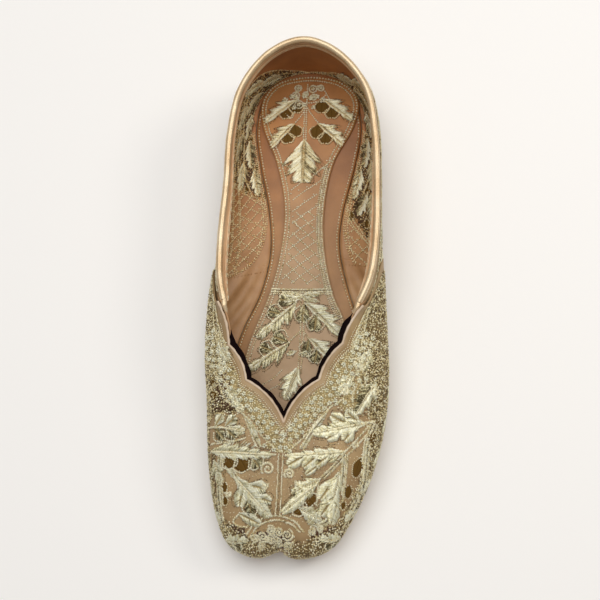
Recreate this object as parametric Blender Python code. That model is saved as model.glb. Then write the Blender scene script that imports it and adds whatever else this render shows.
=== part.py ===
"""Embroidered slip-on flat with a closed back, a scalloped V throat and a cloven toe.

A thin outsole stands on a low heel. The upper is one hollow shell, lofted over ribs that run from the sole's
edge out to the widest line and up to the top edge, all the way round: wall ribs at the back and arched ribs
over the toes. It is open at the top and underneath, where the sole closes it. The front half, the vamp, lies
over the back half, the quarters, as a step in the wall. A piping follows the top edge of the quarters, and a
padded insole with an embroidered centre pad lies inside.

Metres, +Z up. The toe points to -Y and the shoe stands on z = 0, with the middle of its outline at the origin.
The medial side, where the big toe lies, is -X: this is a left shoe.
"""

import math

import bmesh
import bpy
import numpy as np
from mathutils import Vector

MM = 0.001

# Driving sizes.
LENGTH = 0.248
BALL_WIDTH = 0.0875
BACK_HEIGHT = 0.050
SOLE_THICK = 0.0036
HEEL_RISE = 0.0066
TOE_SPRING = 0.0045
WALL_THICK = 0.0020
VAMP_STEP = 0.0007
INSOLE_THICK = 0.0030
PAD_THICK = 0.0011
PIPING_RADIUS = 0.0016
JOINT_GAP = 0.0003
SOLE_MARGIN = 0.0008
NOTCH_DEPTH = 0.0034
NOTCH_HALF_WIDTH = 0.0052
NOTCH_RUN = 0.022
NOTCH_ACROSS = -0.0070

# Counts that set how fine the solids are.
RIBS_PER_SIDE = 58
OUTER_STEPS = 12
INNER_STEPS = 7
PLATE_STEPS = 44
PLATE_ACROSS = 8
PIPING_STEPS = 80
PIPING_SIDES = 10

# The share of a rib that lies below the widest line.
BELLY_AT = 0.4

# Where a rib stands round the shoe is its turn: 0 at the toe, rising along the lateral side to 1 at the heel
# and on along the medial side to 2, the toe again. A table row gives both sides of one rib.
SEAM_TURN = 0.46

# The sole's edge. Across is a share of BALL_WIDTH and along a share of LENGTH, medial side first.
SOLE_EDGE = (
    # turn, medial across, medial along, lateral across, lateral along
    (0.000, -0.080, -0.5000, -0.080, -0.5000),
    (0.035, -0.215, -0.4985, 0.062, -0.4995),
    (0.070, -0.325, -0.4780, 0.182, -0.4815),
    (0.107, -0.386, -0.4350, 0.266, -0.4390),
    (0.155, -0.420, -0.3710, 0.348, -0.3750),
    (0.208, -0.438, -0.2940, 0.414, -0.2980),
    (0.264, -0.440, -0.2100, 0.444, -0.2140),
    (0.315, -0.420, -0.1330, 0.434, -0.1330),
    (0.365, -0.360, -0.0560, 0.388, -0.0560),
    (0.425, -0.262, 0.0200, 0.306, 0.0340),
    (0.490, -0.212, 0.0970, 0.262, 0.1080),
    (0.575, -0.225, 0.1810, 0.280, 0.1810),
    (0.680, -0.280, 0.2740, 0.343, 0.2740),
    (0.785, -0.314, 0.3630, 0.377, 0.3630),
    (0.865, -0.268, 0.4310, 0.331, 0.4310),
    (0.935, -0.137, 0.4740, 0.200, 0.4740),
    (1.000, 0.029, 0.4860, 0.029, 0.4860),
)

# The widest line of the upper, between the sole and the top edge. Height is in metres over the floor.
BELLY_EDGE = (
    # turn, medial across, medial along, lateral across, lateral along, height
    (0.000, -0.080, -0.5020, -0.080, -0.5020, 0.0120),
    (0.035, -0.222, -0.5005, 0.072, -0.5010, 0.0120),
    (0.070, -0.336, -0.4800, 0.200, -0.4830, 0.0125),
    (0.107, -0.396, -0.4380, 0.288, -0.4420, 0.0130),
    (0.155, -0.437, -0.3730, 0.377, -0.3770, 0.0140),
    (0.208, -0.459, -0.2950, 0.450, -0.3000, 0.0150),
    (0.264, -0.471, -0.2120, 0.489, -0.2160, 0.0160),
    (0.315, -0.486, -0.1400, 0.496, -0.1420, 0.0175),
    (0.365, -0.490, -0.0680, 0.486, -0.0700, 0.0195),
    (0.425, -0.478, 0.0000, 0.474, 0.0200, 0.0220),
    (0.490, -0.450, 0.0600, 0.466, 0.0850, 0.0245),
    (0.575, -0.420, 0.1420, 0.460, 0.1550, 0.0260),
    (0.680, -0.400, 0.2400, 0.456, 0.2450, 0.0260),
    (0.785, -0.374, 0.3400, 0.444, 0.3380, 0.0255),
    (0.865, -0.312, 0.4190, 0.382, 0.4160, 0.0250),
    (0.935, -0.168, 0.4760, 0.230, 0.4740, 0.0240),
    (1.000, 0.029, 0.4960, 0.029, 0.4960, 0.0230),
)

# The points between the scallops of the throat. Height is a share of BACK_HEIGHT, and bulge is how far the
# scallop that ends here stands into the opening.
THROAT_POINTS = (
    # turn, medial across, medial along, lateral across, lateral along, height, bulge
    (0.00, -0.039, -0.2635, -0.039, -0.2635, 0.714, 0.0),
    (0.19, -0.243, -0.1845, 0.147, -0.1825, 0.750, 2.6 * MM),
    (0.32, -0.338, -0.1190, 0.266, -0.1160, 0.795, 1.7 * MM),
    (0.46, -0.394, -0.0425, 0.362, -0.0490, 0.840, 1.1 * MM),
)

# The top edge of the quarters, from the seam with the vamp back to the heel.
QUARTER_EDGE = (
    # turn, medial across, medial along, lateral across, lateral along, height
    (0.460, -0.394, -0.0425, 0.362, -0.0490, 0.772),
    (0.530, -0.423, 0.0200, 0.430, 0.0160, 0.775),
    (0.600, -0.421, 0.0970, 0.455, 0.0970, 0.782),
    (0.690, -0.400, 0.2020, 0.457, 0.2020, 0.805),
    (0.785, -0.386, 0.3060, 0.443, 0.3060, 0.850),
    (0.865, -0.328, 0.3960, 0.390, 0.3960, 0.905),
    (0.935, -0.176, 0.4640, 0.232, 0.4640, 0.963),
    (1.000, 0.029, 0.4905, 0.029, 0.4905, 1.000),
)

# How a rib turns over from the widest line to the top edge, in metres.
RIB_SHAPE = (
    # turn, up from the widest line, out at the top, down at the top
    (0.000, 0.0110, 0.0330, 0.0040),
    (0.070, 0.0110, 0.0310, 0.0050),
    (0.155, 0.0110, 0.0260, 0.0060),
    (0.264, 0.0110, 0.0180, 0.0080),
    (0.365, 0.0100, 0.0100, 0.0090),
    (0.460, 0.0080, 0.0040, 0.0080),
    (0.575, 0.0070, 0.0010, 0.0070),
    (0.680, 0.0070, 0.0008, 0.0070),
    (0.785, 0.0070, 0.0010, 0.0070),
    (0.900, 0.0080, 0.0020, 0.0080),
    (1.000, 0.0080, 0.0025, 0.0090),
)

# The height of the sole's underside: it springs up at the toe, lies flat under the ball and rises on the heel.
SOLE_PROFILE = (
    # along as a share of LENGTH, height in metres
    (-0.520, TOE_SPRING * 1.10),
    (-0.460, TOE_SPRING * 0.60),
    (-0.400, TOE_SPRING * 0.20),
    (-0.330, 0.0),
    (-0.200, 0.0),
    (-0.070, 0.0),
    (0.030, HEEL_RISE * 0.28),
    (0.120, HEEL_RISE * 0.72),
    (0.200, HEEL_RISE * 0.96),
    (0.260, HEEL_RISE),
    (0.400, HEEL_RISE),
    (0.520, HEEL_RISE),
)

HEEL_BREAST_TURN = 0.640
HEEL_INSET = 0.0012

# The embroidered centre of the insole: round at the heel, narrow at the waist and wide under the toes.
PAD_EDGE = (
    # turn, medial across, medial along, lateral across, lateral along
    (0.00, -0.062, -0.3700, -0.062, -0.3700),
    (0.06, -0.180, -0.3500, 0.070, -0.3500),
    (0.14, -0.290, -0.2700, 0.220, -0.2700),
    (0.22, -0.320, -0.1750, 0.300, -0.1750),
    (0.32, -0.285, -0.0900, 0.262, -0.0500),
    (0.42, -0.175, 0.0150, 0.190, 0.0150),
    (0.52, -0.112, 0.1050, 0.138, 0.1050),
    (0.62, -0.098, 0.1950, 0.136, 0.1950),
    (0.72, -0.150, 0.2850, 0.185, 0.2850),
    (0.82, -0.232, 0.3600, 0.292, 0.3600),
    (0.90, -0.243, 0.4200, 0.318, 0.4200),
    (0.96, -0.150, 0.4620, 0.215, 0.4620),
    (1.00, 0.032, 0.4750, 0.032, 0.4750),
)


def hermite(rows, at):
    """The smooth curve through rows of (key, values...) at one key, with slopes from the rows on either side."""
    keys = [row[0] for row in rows]
    values = np.array([row[1:] for row in rows], float)
    i = int(np.clip(np.searchsorted(keys, at) - 1, 0, len(rows) - 2))

    def slope(j):
        low, high = max(j - 1, 0), min(j + 1, len(rows) - 1)
        return (values[high] - values[low]) / (keys[high] - keys[low])

    span = keys[i + 1] - keys[i]
    t = (at - keys[i]) / span
    return (
        (2 * t**3 - 3 * t**2 + 1) * values[i]
        + (t**3 - 2 * t**2 + t) * span * slope(i)
        + (3 * t**2 - 2 * t**3) * values[i + 1]
        + (t**3 - t**2) * span * slope(i + 1)
    )


def both_sides(rows):
    """Rows of a two-sided table as one run of (turn, across, along, rest...): lateral up to 1, medial on to 2."""
    lateral = [(r[0], r[3], r[4], *r[5:]) for r in rows]
    medial = [(2 - r[0], r[1], r[2], *r[5:]) for r in reversed(rows)]
    return lateral + medial[1:]


def closed_run(rows):
    """A two-sided table that closes at the toe, with its ends repeated so that the curve is smooth there."""
    run = both_sides(rows)
    before = [(r[0] - 2, *r[1:]) for r in run[-4:-1]]
    after = [(r[0] + 2, *r[1:]) for r in run[1:4]]
    return before + run + after


SOLE_RUN = closed_run(SOLE_EDGE)
BELLY_RUN = closed_run(BELLY_EDGE)
PAD_RUN = closed_run(PAD_EDGE)
QUARTER_RUN = both_sides(QUARTER_EDGE)


def outline(run, turn, inset=0.0):
    """A point of a closed outline, moved in by inset, as (across, along) in metres."""
    step = 0.004

    def place(at):
        share = hermite(run, at % 2.0)
        return np.array([share[0] * BALL_WIDTH, share[1] * LENGTH])

    tangent = place(turn + step) - place(turn - step)
    inward = np.array([-tangent[1], tangent[0]]) / np.linalg.norm(tangent)
    return place(turn) + inward * inset


def sole_low(along):
    """Height of the outsole's underside, flat on the floor under the ball."""
    return max(0.0, float(hermite(SOLE_PROFILE, along / LENGTH)[0]))


def sole_top(along):
    return sole_low(along) + SOLE_THICK


def insole_top(along):
    return sole_top(along) + JOINT_GAP + INSOLE_THICK


def cleft(point):
    """Draws the toe's front back along the middle, deepest at the sole and gone over the toes."""
    across = (point[0] - NOTCH_ACROSS) / NOTCH_HALF_WIDTH
    back = np.clip((point[1] + LENGTH / 2) / NOTCH_RUN, 0, 1)
    up = np.clip(point[2] / (0.62 * BACK_HEIGHT), 0, 1)
    share = math.exp(-(across**2)) * (1 - back**2) ** 2 * (1 - up**2)
    return point + np.array([0, NOTCH_DEPTH * share, 0])


def throat_place(turn):
    """A point of the vamp's scalloped edge. Each scallop is an arc between two of THROAT_POINTS."""
    lateral = turn <= 1
    share = turn if lateral else 2 - turn
    rows = [(r[0], *(r[3:5] if lateral else r[1:3]), r[5], r[6]) for r in THROAT_POINTS]
    i = int(np.clip(np.searchsorted([r[0] for r in rows], share) - 1, 0, len(rows) - 2))
    start, end = np.array(rows[i][1:4]), np.array(rows[i + 1][1:4])
    size = np.array([BALL_WIDTH, LENGTH, BACK_HEIGHT])
    start, end = start * size, end * size
    t = (share - rows[i][0]) / (rows[i + 1][0] - rows[i][0])
    chord = end - start
    aside = np.array([-chord[1], chord[0], 0]) / np.linalg.norm(chord[:2])
    aside = aside if lateral else -aside
    return start + chord * t + aside * rows[i + 1][4] * 4 * t * (1 - t)


def quarter_place(turn):
    across, along, height = hermite(QUARTER_RUN, turn)
    return np.array([across * BALL_WIDTH, along * LENGTH, height * BACK_HEIGHT])


def top_place(turn, on_vamp):
    return throat_place(turn) if on_vamp else quarter_place(turn)


def away_from_opening(turn):
    """The level direction that points out from the top edge, read over a wide stretch so scallops don't turn it."""
    reach = 0.10

    def place(at):
        at %= 2.0
        return top_place(at, min(at, 2 - at) < SEAM_TURN)[:2]

    tangent = place(turn + reach) - place(turn - reach)
    out = np.array([tangent[1], -tangent[0], 0])
    return out / np.linalg.norm(out)


def rib(turn, on_vamp):
    """A rib's seven guide points: from the sole out to the widest line, and from there to the top edge."""
    over, top_out, top_down = hermite(RIB_SHAPE, min(turn, 2 - turn))
    foot = outline(SOLE_RUN, turn)
    base = np.append(foot, sole_top(foot[1]) + JOINT_GAP)
    belly = hermite(BELLY_RUN, turn) * np.array([BALL_WIDTH, LENGTH, 1])
    rise = belly[2] - base[2]
    leave = base + (belly - base) * np.array([0.55, 0.55, 0.25])
    arrive = belly - np.array([0, 0, rise * 0.5])
    top = top_place(turn, on_vamp)
    under = top + away_from_opening(turn) * top_out - np.array([0, 0, top_down])
    return base, leave, arrive, belly, belly + np.array([0, 0, over]), under, top


def along_rib(guide, t):
    """A point of a rib: the widest line is at t = BELLY_AT."""
    low = t < BELLY_AT
    a, b, c, d = guide[:4] if low else guide[3:]
    t = t / BELLY_AT if low else (t - BELLY_AT) / (1 - BELLY_AT)
    return (1 - t) ** 3 * a + 3 * t * (1 - t) ** 2 * b + 3 * t**2 * (1 - t) * c + t**3 * d


def wall(turn, t, on_vamp):
    """A point of the quarters' outside, or of the layer under the vamp, with the way out from it."""
    reach, climb = 0.012, 0.03
    low, high = max(t - climb, 0), min(t + climb, 1)
    here = rib(turn, on_vamp)
    point = cleft(along_rib(here, t))
    ahead = cleft(along_rib(rib((turn + reach) % 2, on_vamp), t))
    behind = cleft(along_rib(rib((turn - reach) % 2, on_vamp), t))
    up = cleft(along_rib(here, high)) - cleft(along_rib(here, low))
    out = np.cross(ahead - behind, up)
    return point, out / np.linalg.norm(out), up / np.linalg.norm(up)


def rib_turns():
    """(turn, on the vamp) of every rib. Two ribs stand close together at each seam, one for each layer."""
    spacing = SEAM_TURN / (RIBS_PER_SIDE // 2)
    vamp = np.linspace(0, SEAM_TURN, RIBS_PER_SIDE // 2 + 1)
    quarter = np.linspace(SEAM_TURN + spacing / 6, 1, RIBS_PER_SIDE // 2 + 1)
    lateral = [(t, True) for t in vamp] + [(t, False) for t in quarter]
    medial = [(2 - t, on) for t, on in reversed(lateral)][1:-1]
    return lateral + medial


def shell_sections():
    """The closed outline of the wall at each rib: up the outside, over the rim and down the inside."""
    sections = []
    for turn, on_vamp in rib_turns():
        step = VAMP_STEP if on_vamp else 0.0
        run = [wall(turn, t, on_vamp) for t in np.linspace(0, 1, OUTER_STEPS)]
        outside = [p + out * step for p, out, _ in run]
        inside = [p - out * WALL_THICK for p, out, _ in run]
        base, out, _ = run[0]
        level = out * np.array([1, 1, 0])
        level /= np.linalg.norm(level)
        outside[0] = base + level * step
        inside[0] = base - level * WALL_THICK
        rise = run[-1][2]
        rim = (outside[-1] + inside[-1]) / 2 + rise * (WALL_THICK + step) * 0.25
        picks = np.linspace(OUTER_STEPS - 1, 0, INNER_STEPS).round().astype(int)
        sections.append([*outside, rim, *[inside[k] for k in picks]])
    return sections


def finish_mesh(name, bm, colour, roughness, metallic=0.0):
    """An object of its own from a bmesh, with its material."""
    bmesh.ops.recalc_face_normals(bm, faces=bm.faces)
    mesh = bpy.data.meshes.new(name)
    bm.to_mesh(mesh)
    bm.free()
    mesh.shade_smooth()
    mesh.set_sharp_from_angle(angle=math.radians(40))
    obj = bpy.data.objects.new(name, mesh)
    bpy.context.scene.collection.objects.link(obj)
    material = bpy.data.materials.new(name)
    material.use_nodes = True
    shader = material.node_tree.nodes["Principled BSDF"]
    shader.inputs["Base Color"].default_value = (*colour, 1)
    shader.inputs["Roughness"].default_value = roughness
    shader.inputs["Metallic"].default_value = metallic
    mesh.materials.append(material)
    return obj


def loft(bm, sections, ends_closed):
    """Joins closed sections in a ring, or in a run whose two ends get a face each."""
    loops = [[bm.verts.new(p) for p in section] for section in sections]
    last = len(loops) - 1 if ends_closed else len(loops)
    for i in range(last):
        here, there = loops[i], loops[(i + 1) % len(loops)]
        for j in range(len(here)):
            k = (j + 1) % len(here)
            bm.faces.new((here[j], here[k], there[k], there[j]))
    if ends_closed:
        bm.faces.new(loops[0])
        bm.faces.new(loops[-1])


def plate(name, run, inset, low, high, colour, roughness, start=0.0, edge=0.5 * MM):
    """A curved plate between two heights, with an eased edge. Its rungs join the two sides at equal turns, and
    stand closer at its ends, where the edge turns most."""
    bm = bmesh.new()
    even = np.linspace(0, 1, PLATE_STEPS)
    closer = (1 - np.cos(math.pi * even)) / 2
    turns = start + (1 - start) * (even + closer) / 2
    layers = ((low, 0.0, edge), (low, edge, 0.0), (high, -edge, 0.0), (high, 0.0, edge))
    grids = []
    for height, lift, more_inset in layers:
        rungs = []
        for turn in turns:
            lateral = outline(run, turn, inset + more_inset)
            medial = outline(run, 2 - turn, inset + more_inset)
            steps = [lateral + (medial - lateral) * s for s in np.linspace(0, 1, PLATE_ACROSS + 1)]
            rungs.append([cleft(np.array([*p, height(p[1]) + lift])) for p in steps])
        grids.append(rungs)
    verts = [[[bm.verts.new(p) for p in rung] for rung in rungs] for rungs in grids]
    for grid in (verts[0], verts[-1]):
        for here, there in zip(grid, grid[1:]):
            for j in range(PLATE_ACROSS):
                bm.faces.new((here[j], here[j + 1], there[j + 1], there[j]))
    rims = [[r[0] for r in g] + g[-1][1:-1] + [r[-1] for r in reversed(g)] + g[0][-2:0:-1] for g in verts]
    for here, there in zip(rims, rims[1:]):
        for j in range(len(here)):
            k = (j + 1) % len(here)
            bm.faces.new((here[j], here[k], there[k], there[j]))
    bmesh.ops.remove_doubles(bm, verts=bm.verts, dist=0.02 * MM)
    bmesh.ops.dissolve_degenerate(bm, edges=bm.edges, dist=0.01 * MM)
    return finish_mesh(name, bm, colour, roughness)


def make_outsole():
    return plate("outsole", SOLE_RUN, -SOLE_MARGIN, sole_low, sole_top, (0.62, 0.50, 0.37), 0.6)


def make_heel():
    def floor(_):
        return 0.0

    def under_sole(along):
        return sole_low(along) - JOINT_GAP

    start = HEEL_BREAST_TURN
    return plate("heel", SOLE_RUN, HEEL_INSET, floor, under_sole, (0.16, 0.10, 0.06), 0.6, start=start)


def make_upper():
    bm = bmesh.new()
    loft(bm, shell_sections(), ends_closed=False)
    return finish_mesh("upper", bm, (0.48, 0.31, 0.19), 0.55)


def make_insole():
    def under(along):
        return sole_top(along) + JOINT_GAP

    clear_of_wall = WALL_THICK + VAMP_STEP + 3 * JOINT_GAP
    return plate("insole", SOLE_RUN, clear_of_wall, under, insole_top, (0.50, 0.30, 0.18), 0.6)


def make_insole_pad():
    def under(along):
        return insole_top(along) + JOINT_GAP

    def over(along):
        return under(along) + PAD_THICK

    return plate("insole_pad", PAD_RUN, 0.0, under, over, (0.55, 0.40, 0.26), 0.5, edge=0.3 * MM)


def make_collar_piping():
    """A cord along the top edge of the quarters, standing on their rim between the two ends of the vamp."""
    bm = bmesh.new()
    first = SEAM_TURN + 0.012
    turns = np.linspace(first, 2 - first, PIPING_STEPS)
    centres = []
    for turn in turns:
        edge, out, rise = wall(turn, 1.0, False)
        rim = edge - out * WALL_THICK / 2
        centres.append(rim + rise * (WALL_THICK * 0.25 + JOINT_GAP + PIPING_RADIUS))
    sections = []
    for i, centre in enumerate(centres):
        forward = Vector(centres[min(i + 1, len(centres) - 1)] - centres[max(i - 1, 0)]).normalized()
        side = forward.cross(Vector((0, 0, 1))).normalized()
        over = side.cross(forward)
        angles = [2 * math.pi * k / PIPING_SIDES for k in range(PIPING_SIDES)]
        ring = [Vector(centre) + (side * math.cos(a) + over * math.sin(a)) * PIPING_RADIUS for a in angles]
        sections.append(ring)
    loft(bm, sections, ends_closed=True)
    return finish_mesh("collar_piping", bm, (0.78, 0.58, 0.36), 0.35, metallic=0.6)


def main():
    for obj in list(bpy.data.objects):
        bpy.data.objects.remove(obj)
    make_outsole()
    make_heel()
    make_upper()
    make_insole()
    make_insole_pad()
    make_collar_piping()


main()
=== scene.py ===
"""Looks of an embroidered slip-on flat: leather, piping, lining, soles and gold thread work.

Everything is in metres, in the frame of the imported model: +Z up, toe to -Y, and the medial side at -X. The
upper's form comes from the same tables as its solid. Every stitch of the needlework is a small bead or
strand laid on the leather, and a few functions sew whole motifs from them. Motifs are in mm on a cloth,
which says where on the shoe they lie.
"""

import math

import bmesh
import bpy
import numpy as np
from mathutils import Matrix, Vector
from mathutils.bvhtree import BVHTree


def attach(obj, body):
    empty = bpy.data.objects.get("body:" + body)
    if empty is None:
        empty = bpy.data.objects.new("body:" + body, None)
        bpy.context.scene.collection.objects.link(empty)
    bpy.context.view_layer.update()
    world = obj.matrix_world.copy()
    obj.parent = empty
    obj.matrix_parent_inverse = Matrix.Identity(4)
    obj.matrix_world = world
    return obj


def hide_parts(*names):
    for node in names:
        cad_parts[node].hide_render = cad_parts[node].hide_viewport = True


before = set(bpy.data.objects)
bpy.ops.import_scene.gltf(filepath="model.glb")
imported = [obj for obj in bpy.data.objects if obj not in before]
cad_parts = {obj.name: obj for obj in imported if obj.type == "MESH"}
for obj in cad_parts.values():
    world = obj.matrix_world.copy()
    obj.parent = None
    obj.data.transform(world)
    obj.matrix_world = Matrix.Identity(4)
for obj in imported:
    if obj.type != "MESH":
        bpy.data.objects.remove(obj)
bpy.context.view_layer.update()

MM = 0.001

# Driving sizes, the same as the solids'.
LENGTH = 0.248
BALL_WIDTH = 0.0875
BACK_HEIGHT = 0.050
SOLE_THICK = 0.0036
HEEL_RISE = 0.0066
TOE_SPRING = 0.0045
WALL_THICK = 0.0020
VAMP_STEP = 0.0007
INSOLE_THICK = 0.0030
PAD_THICK = 0.0011
PIPING_RADIUS = 0.0016
JOINT_GAP = 0.0003
SOLE_MARGIN = 0.0008
NOTCH_DEPTH = 0.0034
NOTCH_HALF_WIDTH = 0.0052
NOTCH_RUN = 0.022
NOTCH_ACROSS = -0.0070
BELLY_AT = 0.4
SEAM_TURN = 0.46

# The sole's edge. Across is a share of BALL_WIDTH and along a share of LENGTH, medial side first.
SOLE_EDGE = (
    # turn, medial across, medial along, lateral across, lateral along
    (0.000, -0.080, -0.5000, -0.080, -0.5000),
    (0.035, -0.215, -0.4985, 0.062, -0.4995),
    (0.070, -0.325, -0.4780, 0.182, -0.4815),
    (0.107, -0.386, -0.4350, 0.266, -0.4390),
    (0.155, -0.420, -0.3710, 0.348, -0.3750),
    (0.208, -0.438, -0.2940, 0.414, -0.2980),
    (0.264, -0.440, -0.2100, 0.444, -0.2140),
    (0.315, -0.420, -0.1330, 0.434, -0.1330),
    (0.365, -0.360, -0.0560, 0.388, -0.0560),
    (0.425, -0.262, 0.0200, 0.306, 0.0340),
    (0.490, -0.212, 0.0970, 0.262, 0.1080),
    (0.575, -0.225, 0.1810, 0.280, 0.1810),
    (0.680, -0.280, 0.2740, 0.343, 0.2740),
    (0.785, -0.314, 0.3630, 0.377, 0.3630),
    (0.865, -0.268, 0.4310, 0.331, 0.4310),
    (0.935, -0.137, 0.4740, 0.200, 0.4740),
    (1.000, 0.029, 0.4860, 0.029, 0.4860),
)

# The widest line of the upper, between the sole and the top edge. Height is in metres over the floor.
BELLY_EDGE = (
    # turn, medial across, medial along, lateral across, lateral along, height
    (0.000, -0.080, -0.5020, -0.080, -0.5020, 0.0120),
    (0.035, -0.222, -0.5005, 0.072, -0.5010, 0.0120),
    (0.070, -0.336, -0.4800, 0.200, -0.4830, 0.0125),
    (0.107, -0.396, -0.4380, 0.288, -0.4420, 0.0130),
    (0.155, -0.437, -0.3730, 0.377, -0.3770, 0.0140),
    (0.208, -0.459, -0.2950, 0.450, -0.3000, 0.0150),
    (0.264, -0.471, -0.2120, 0.489, -0.2160, 0.0160),
    (0.315, -0.486, -0.1400, 0.496, -0.1420, 0.0175),
    (0.365, -0.490, -0.0680, 0.486, -0.0700, 0.0195),
    (0.425, -0.478, 0.0000, 0.474, 0.0200, 0.0220),
    (0.490, -0.450, 0.0600, 0.466, 0.0850, 0.0245),
    (0.575, -0.420, 0.1420, 0.460, 0.1550, 0.0260),
    (0.680, -0.400, 0.2400, 0.456, 0.2450, 0.0260),
    (0.785, -0.374, 0.3400, 0.444, 0.3380, 0.0255),
    (0.865, -0.312, 0.4190, 0.382, 0.4160, 0.0250),
    (0.935, -0.168, 0.4760, 0.230, 0.4740, 0.0240),
    (1.000, 0.029, 0.4960, 0.029, 0.4960, 0.0230),
)

# The points between the scallops of the throat. Height is a share of BACK_HEIGHT, and bulge is how far the
# scallop that ends here stands into the opening.
THROAT_POINTS = (
    # turn, medial across, medial along, lateral across, lateral along, height, bulge
    (0.00, -0.039, -0.2635, -0.039, -0.2635, 0.714, 0.0),
    (0.19, -0.243, -0.1845, 0.147, -0.1825, 0.750, 2.6 * MM),
    (0.32, -0.338, -0.1190, 0.266, -0.1160, 0.795, 1.7 * MM),
    (0.46, -0.394, -0.0425, 0.362, -0.0490, 0.840, 1.1 * MM),
)

# The top edge of the quarters, from the seam with the vamp back to the heel.
QUARTER_EDGE = (
    # turn, medial across, medial along, lateral across, lateral along, height
    (0.460, -0.394, -0.0425, 0.362, -0.0490, 0.772),
    (0.530, -0.423, 0.0200, 0.430, 0.0160, 0.775),
    (0.600, -0.421, 0.0970, 0.455, 0.0970, 0.782),
    (0.690, -0.400, 0.2020, 0.457, 0.2020, 0.805),
    (0.785, -0.386, 0.3060, 0.443, 0.3060, 0.850),
    (0.865, -0.328, 0.3960, 0.390, 0.3960, 0.905),
    (0.935, -0.176, 0.4640, 0.232, 0.4640, 0.963),
    (1.000, 0.029, 0.4905, 0.029, 0.4905, 1.000),
)

# How a rib turns over from the widest line to the top edge, in metres.
RIB_SHAPE = (
    # turn, up from the widest line, out at the top, down at the top
    (0.000, 0.0110, 0.0330, 0.0040),
    (0.070, 0.0110, 0.0310, 0.0050),
    (0.155, 0.0110, 0.0260, 0.0060),
    (0.264, 0.0110, 0.0180, 0.0080),
    (0.365, 0.0100, 0.0100, 0.0090),
    (0.460, 0.0080, 0.0040, 0.0080),
    (0.575, 0.0070, 0.0010, 0.0070),
    (0.680, 0.0070, 0.0008, 0.0070),
    (0.785, 0.0070, 0.0010, 0.0070),
    (0.900, 0.0080, 0.0020, 0.0080),
    (1.000, 0.0080, 0.0025, 0.0090),
)

# The height of the sole's underside: it springs up at the toe, lies flat under the ball and rises on the
# heel.
SOLE_PROFILE = (
    # along as a share of LENGTH, height in metres
    (-0.520, TOE_SPRING * 1.10),
    (-0.460, TOE_SPRING * 0.60),
    (-0.400, TOE_SPRING * 0.20),
    (-0.330, 0.0),
    (-0.200, 0.0),
    (-0.070, 0.0),
    (0.030, HEEL_RISE * 0.28),
    (0.120, HEEL_RISE * 0.72),
    (0.200, HEEL_RISE * 0.96),
    (0.260, HEEL_RISE),
    (0.400, HEEL_RISE),
    (0.520, HEEL_RISE),
)

HEEL_BREAST_TURN = 0.640
HEEL_INSET = 0.0012

# How far the sock lies in from the sole's edge, and how far the cord's middle stands up from the collar.
SOCK_INSET = WALL_THICK + VAMP_STEP + 3 * JOINT_GAP
CORD_UP = WALL_THICK * 0.25 + JOINT_GAP + PIPING_RADIUS

# The embroidered centre of the insole: round at the heel, narrow at the waist and wide under the toes.
PAD_EDGE = (
    # turn, medial across, medial along, lateral across, lateral along
    (0.00, -0.062, -0.3700, -0.062, -0.3700),
    (0.06, -0.180, -0.3500, 0.070, -0.3500),
    (0.14, -0.290, -0.2700, 0.220, -0.2700),
    (0.22, -0.320, -0.1750, 0.300, -0.1750),
    (0.32, -0.285, -0.0900, 0.262, -0.0500),
    (0.42, -0.175, 0.0150, 0.190, 0.0150),
    (0.52, -0.112, 0.1050, 0.138, 0.1050),
    (0.62, -0.098, 0.1950, 0.136, 0.1950),
    (0.72, -0.150, 0.2850, 0.185, 0.2850),
    (0.82, -0.232, 0.3600, 0.292, 0.3600),
    (0.90, -0.243, 0.4200, 0.318, 0.4200),
    (0.96, -0.150, 0.4620, 0.215, 0.4620),
    (1.00, 0.032, 0.4750, 0.032, 0.4750),
)


def smooth(rows, at):
    """The smooth curve through rows of (key, values...), read at every key of an array."""
    keys = np.array([row[0] for row in rows], float)
    values = np.array([row[1:] for row in rows], float)
    at = np.atleast_1d(np.asarray(at, float))
    i = np.clip(np.searchsorted(keys, at) - 1, 0, len(keys) - 2)
    order = np.arange(len(keys))
    before, after = np.maximum(order - 1, 0), np.minimum(order + 1, len(keys) - 1)
    slopes = (values[after] - values[before]) / (keys[after] - keys[before])[:, None]
    span = (keys[i + 1] - keys[i])[:, None]
    t = (at - keys[i])[:, None] / span
    return (
        (2 * t**3 - 3 * t**2 + 1) * values[i]
        + (t**3 - 2 * t**2 + t) * span * slopes[i]
        + (3 * t**2 - 2 * t**3) * values[i + 1]
        + (t**3 - t**2) * span * slopes[i + 1]
    )


def both_sides(rows):
    """Rows of a two-sided table as one run of (turn, across, along, rest...): lateral to 1, medial to 2."""
    lateral = [(r[0], r[3], r[4], *r[5:]) for r in rows]
    medial = [(2 - r[0], r[1], r[2], *r[5:]) for r in reversed(rows)]
    return lateral + medial[1:]


def closed_run(rows):
    """A two-sided table that closes at the toe, with its ends repeated so that the curve is smooth there."""
    run = both_sides(rows)
    return [(r[0] - 2, *r[1:]) for r in run[-4:-1]] + run + [(r[0] + 2, *r[1:]) for r in run[1:4]]


SOLE_RUN = closed_run(SOLE_EDGE)
BELLY_RUN = closed_run(BELLY_EDGE)
PAD_RUN = closed_run(PAD_EDGE)
QUARTER_RUN = both_sides(QUARTER_EDGE)


def unit(vectors):
    return vectors / np.maximum(np.linalg.norm(vectors, axis=-1, keepdims=True), 1e-12)


def run_along(points):
    """How far along a row of points each of them lies."""
    return np.concatenate([[0], np.cumsum(np.linalg.norm(np.diff(points, axis=0), axis=1))])


def ease(x, low=0.0, high=1.0):
    """0 below low and 1 above high, with a soft start and end."""
    t = np.clip((np.asarray(x, float) - low) / (high - low), 0, 1)
    return t * t * (3 - 2 * t)


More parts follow.
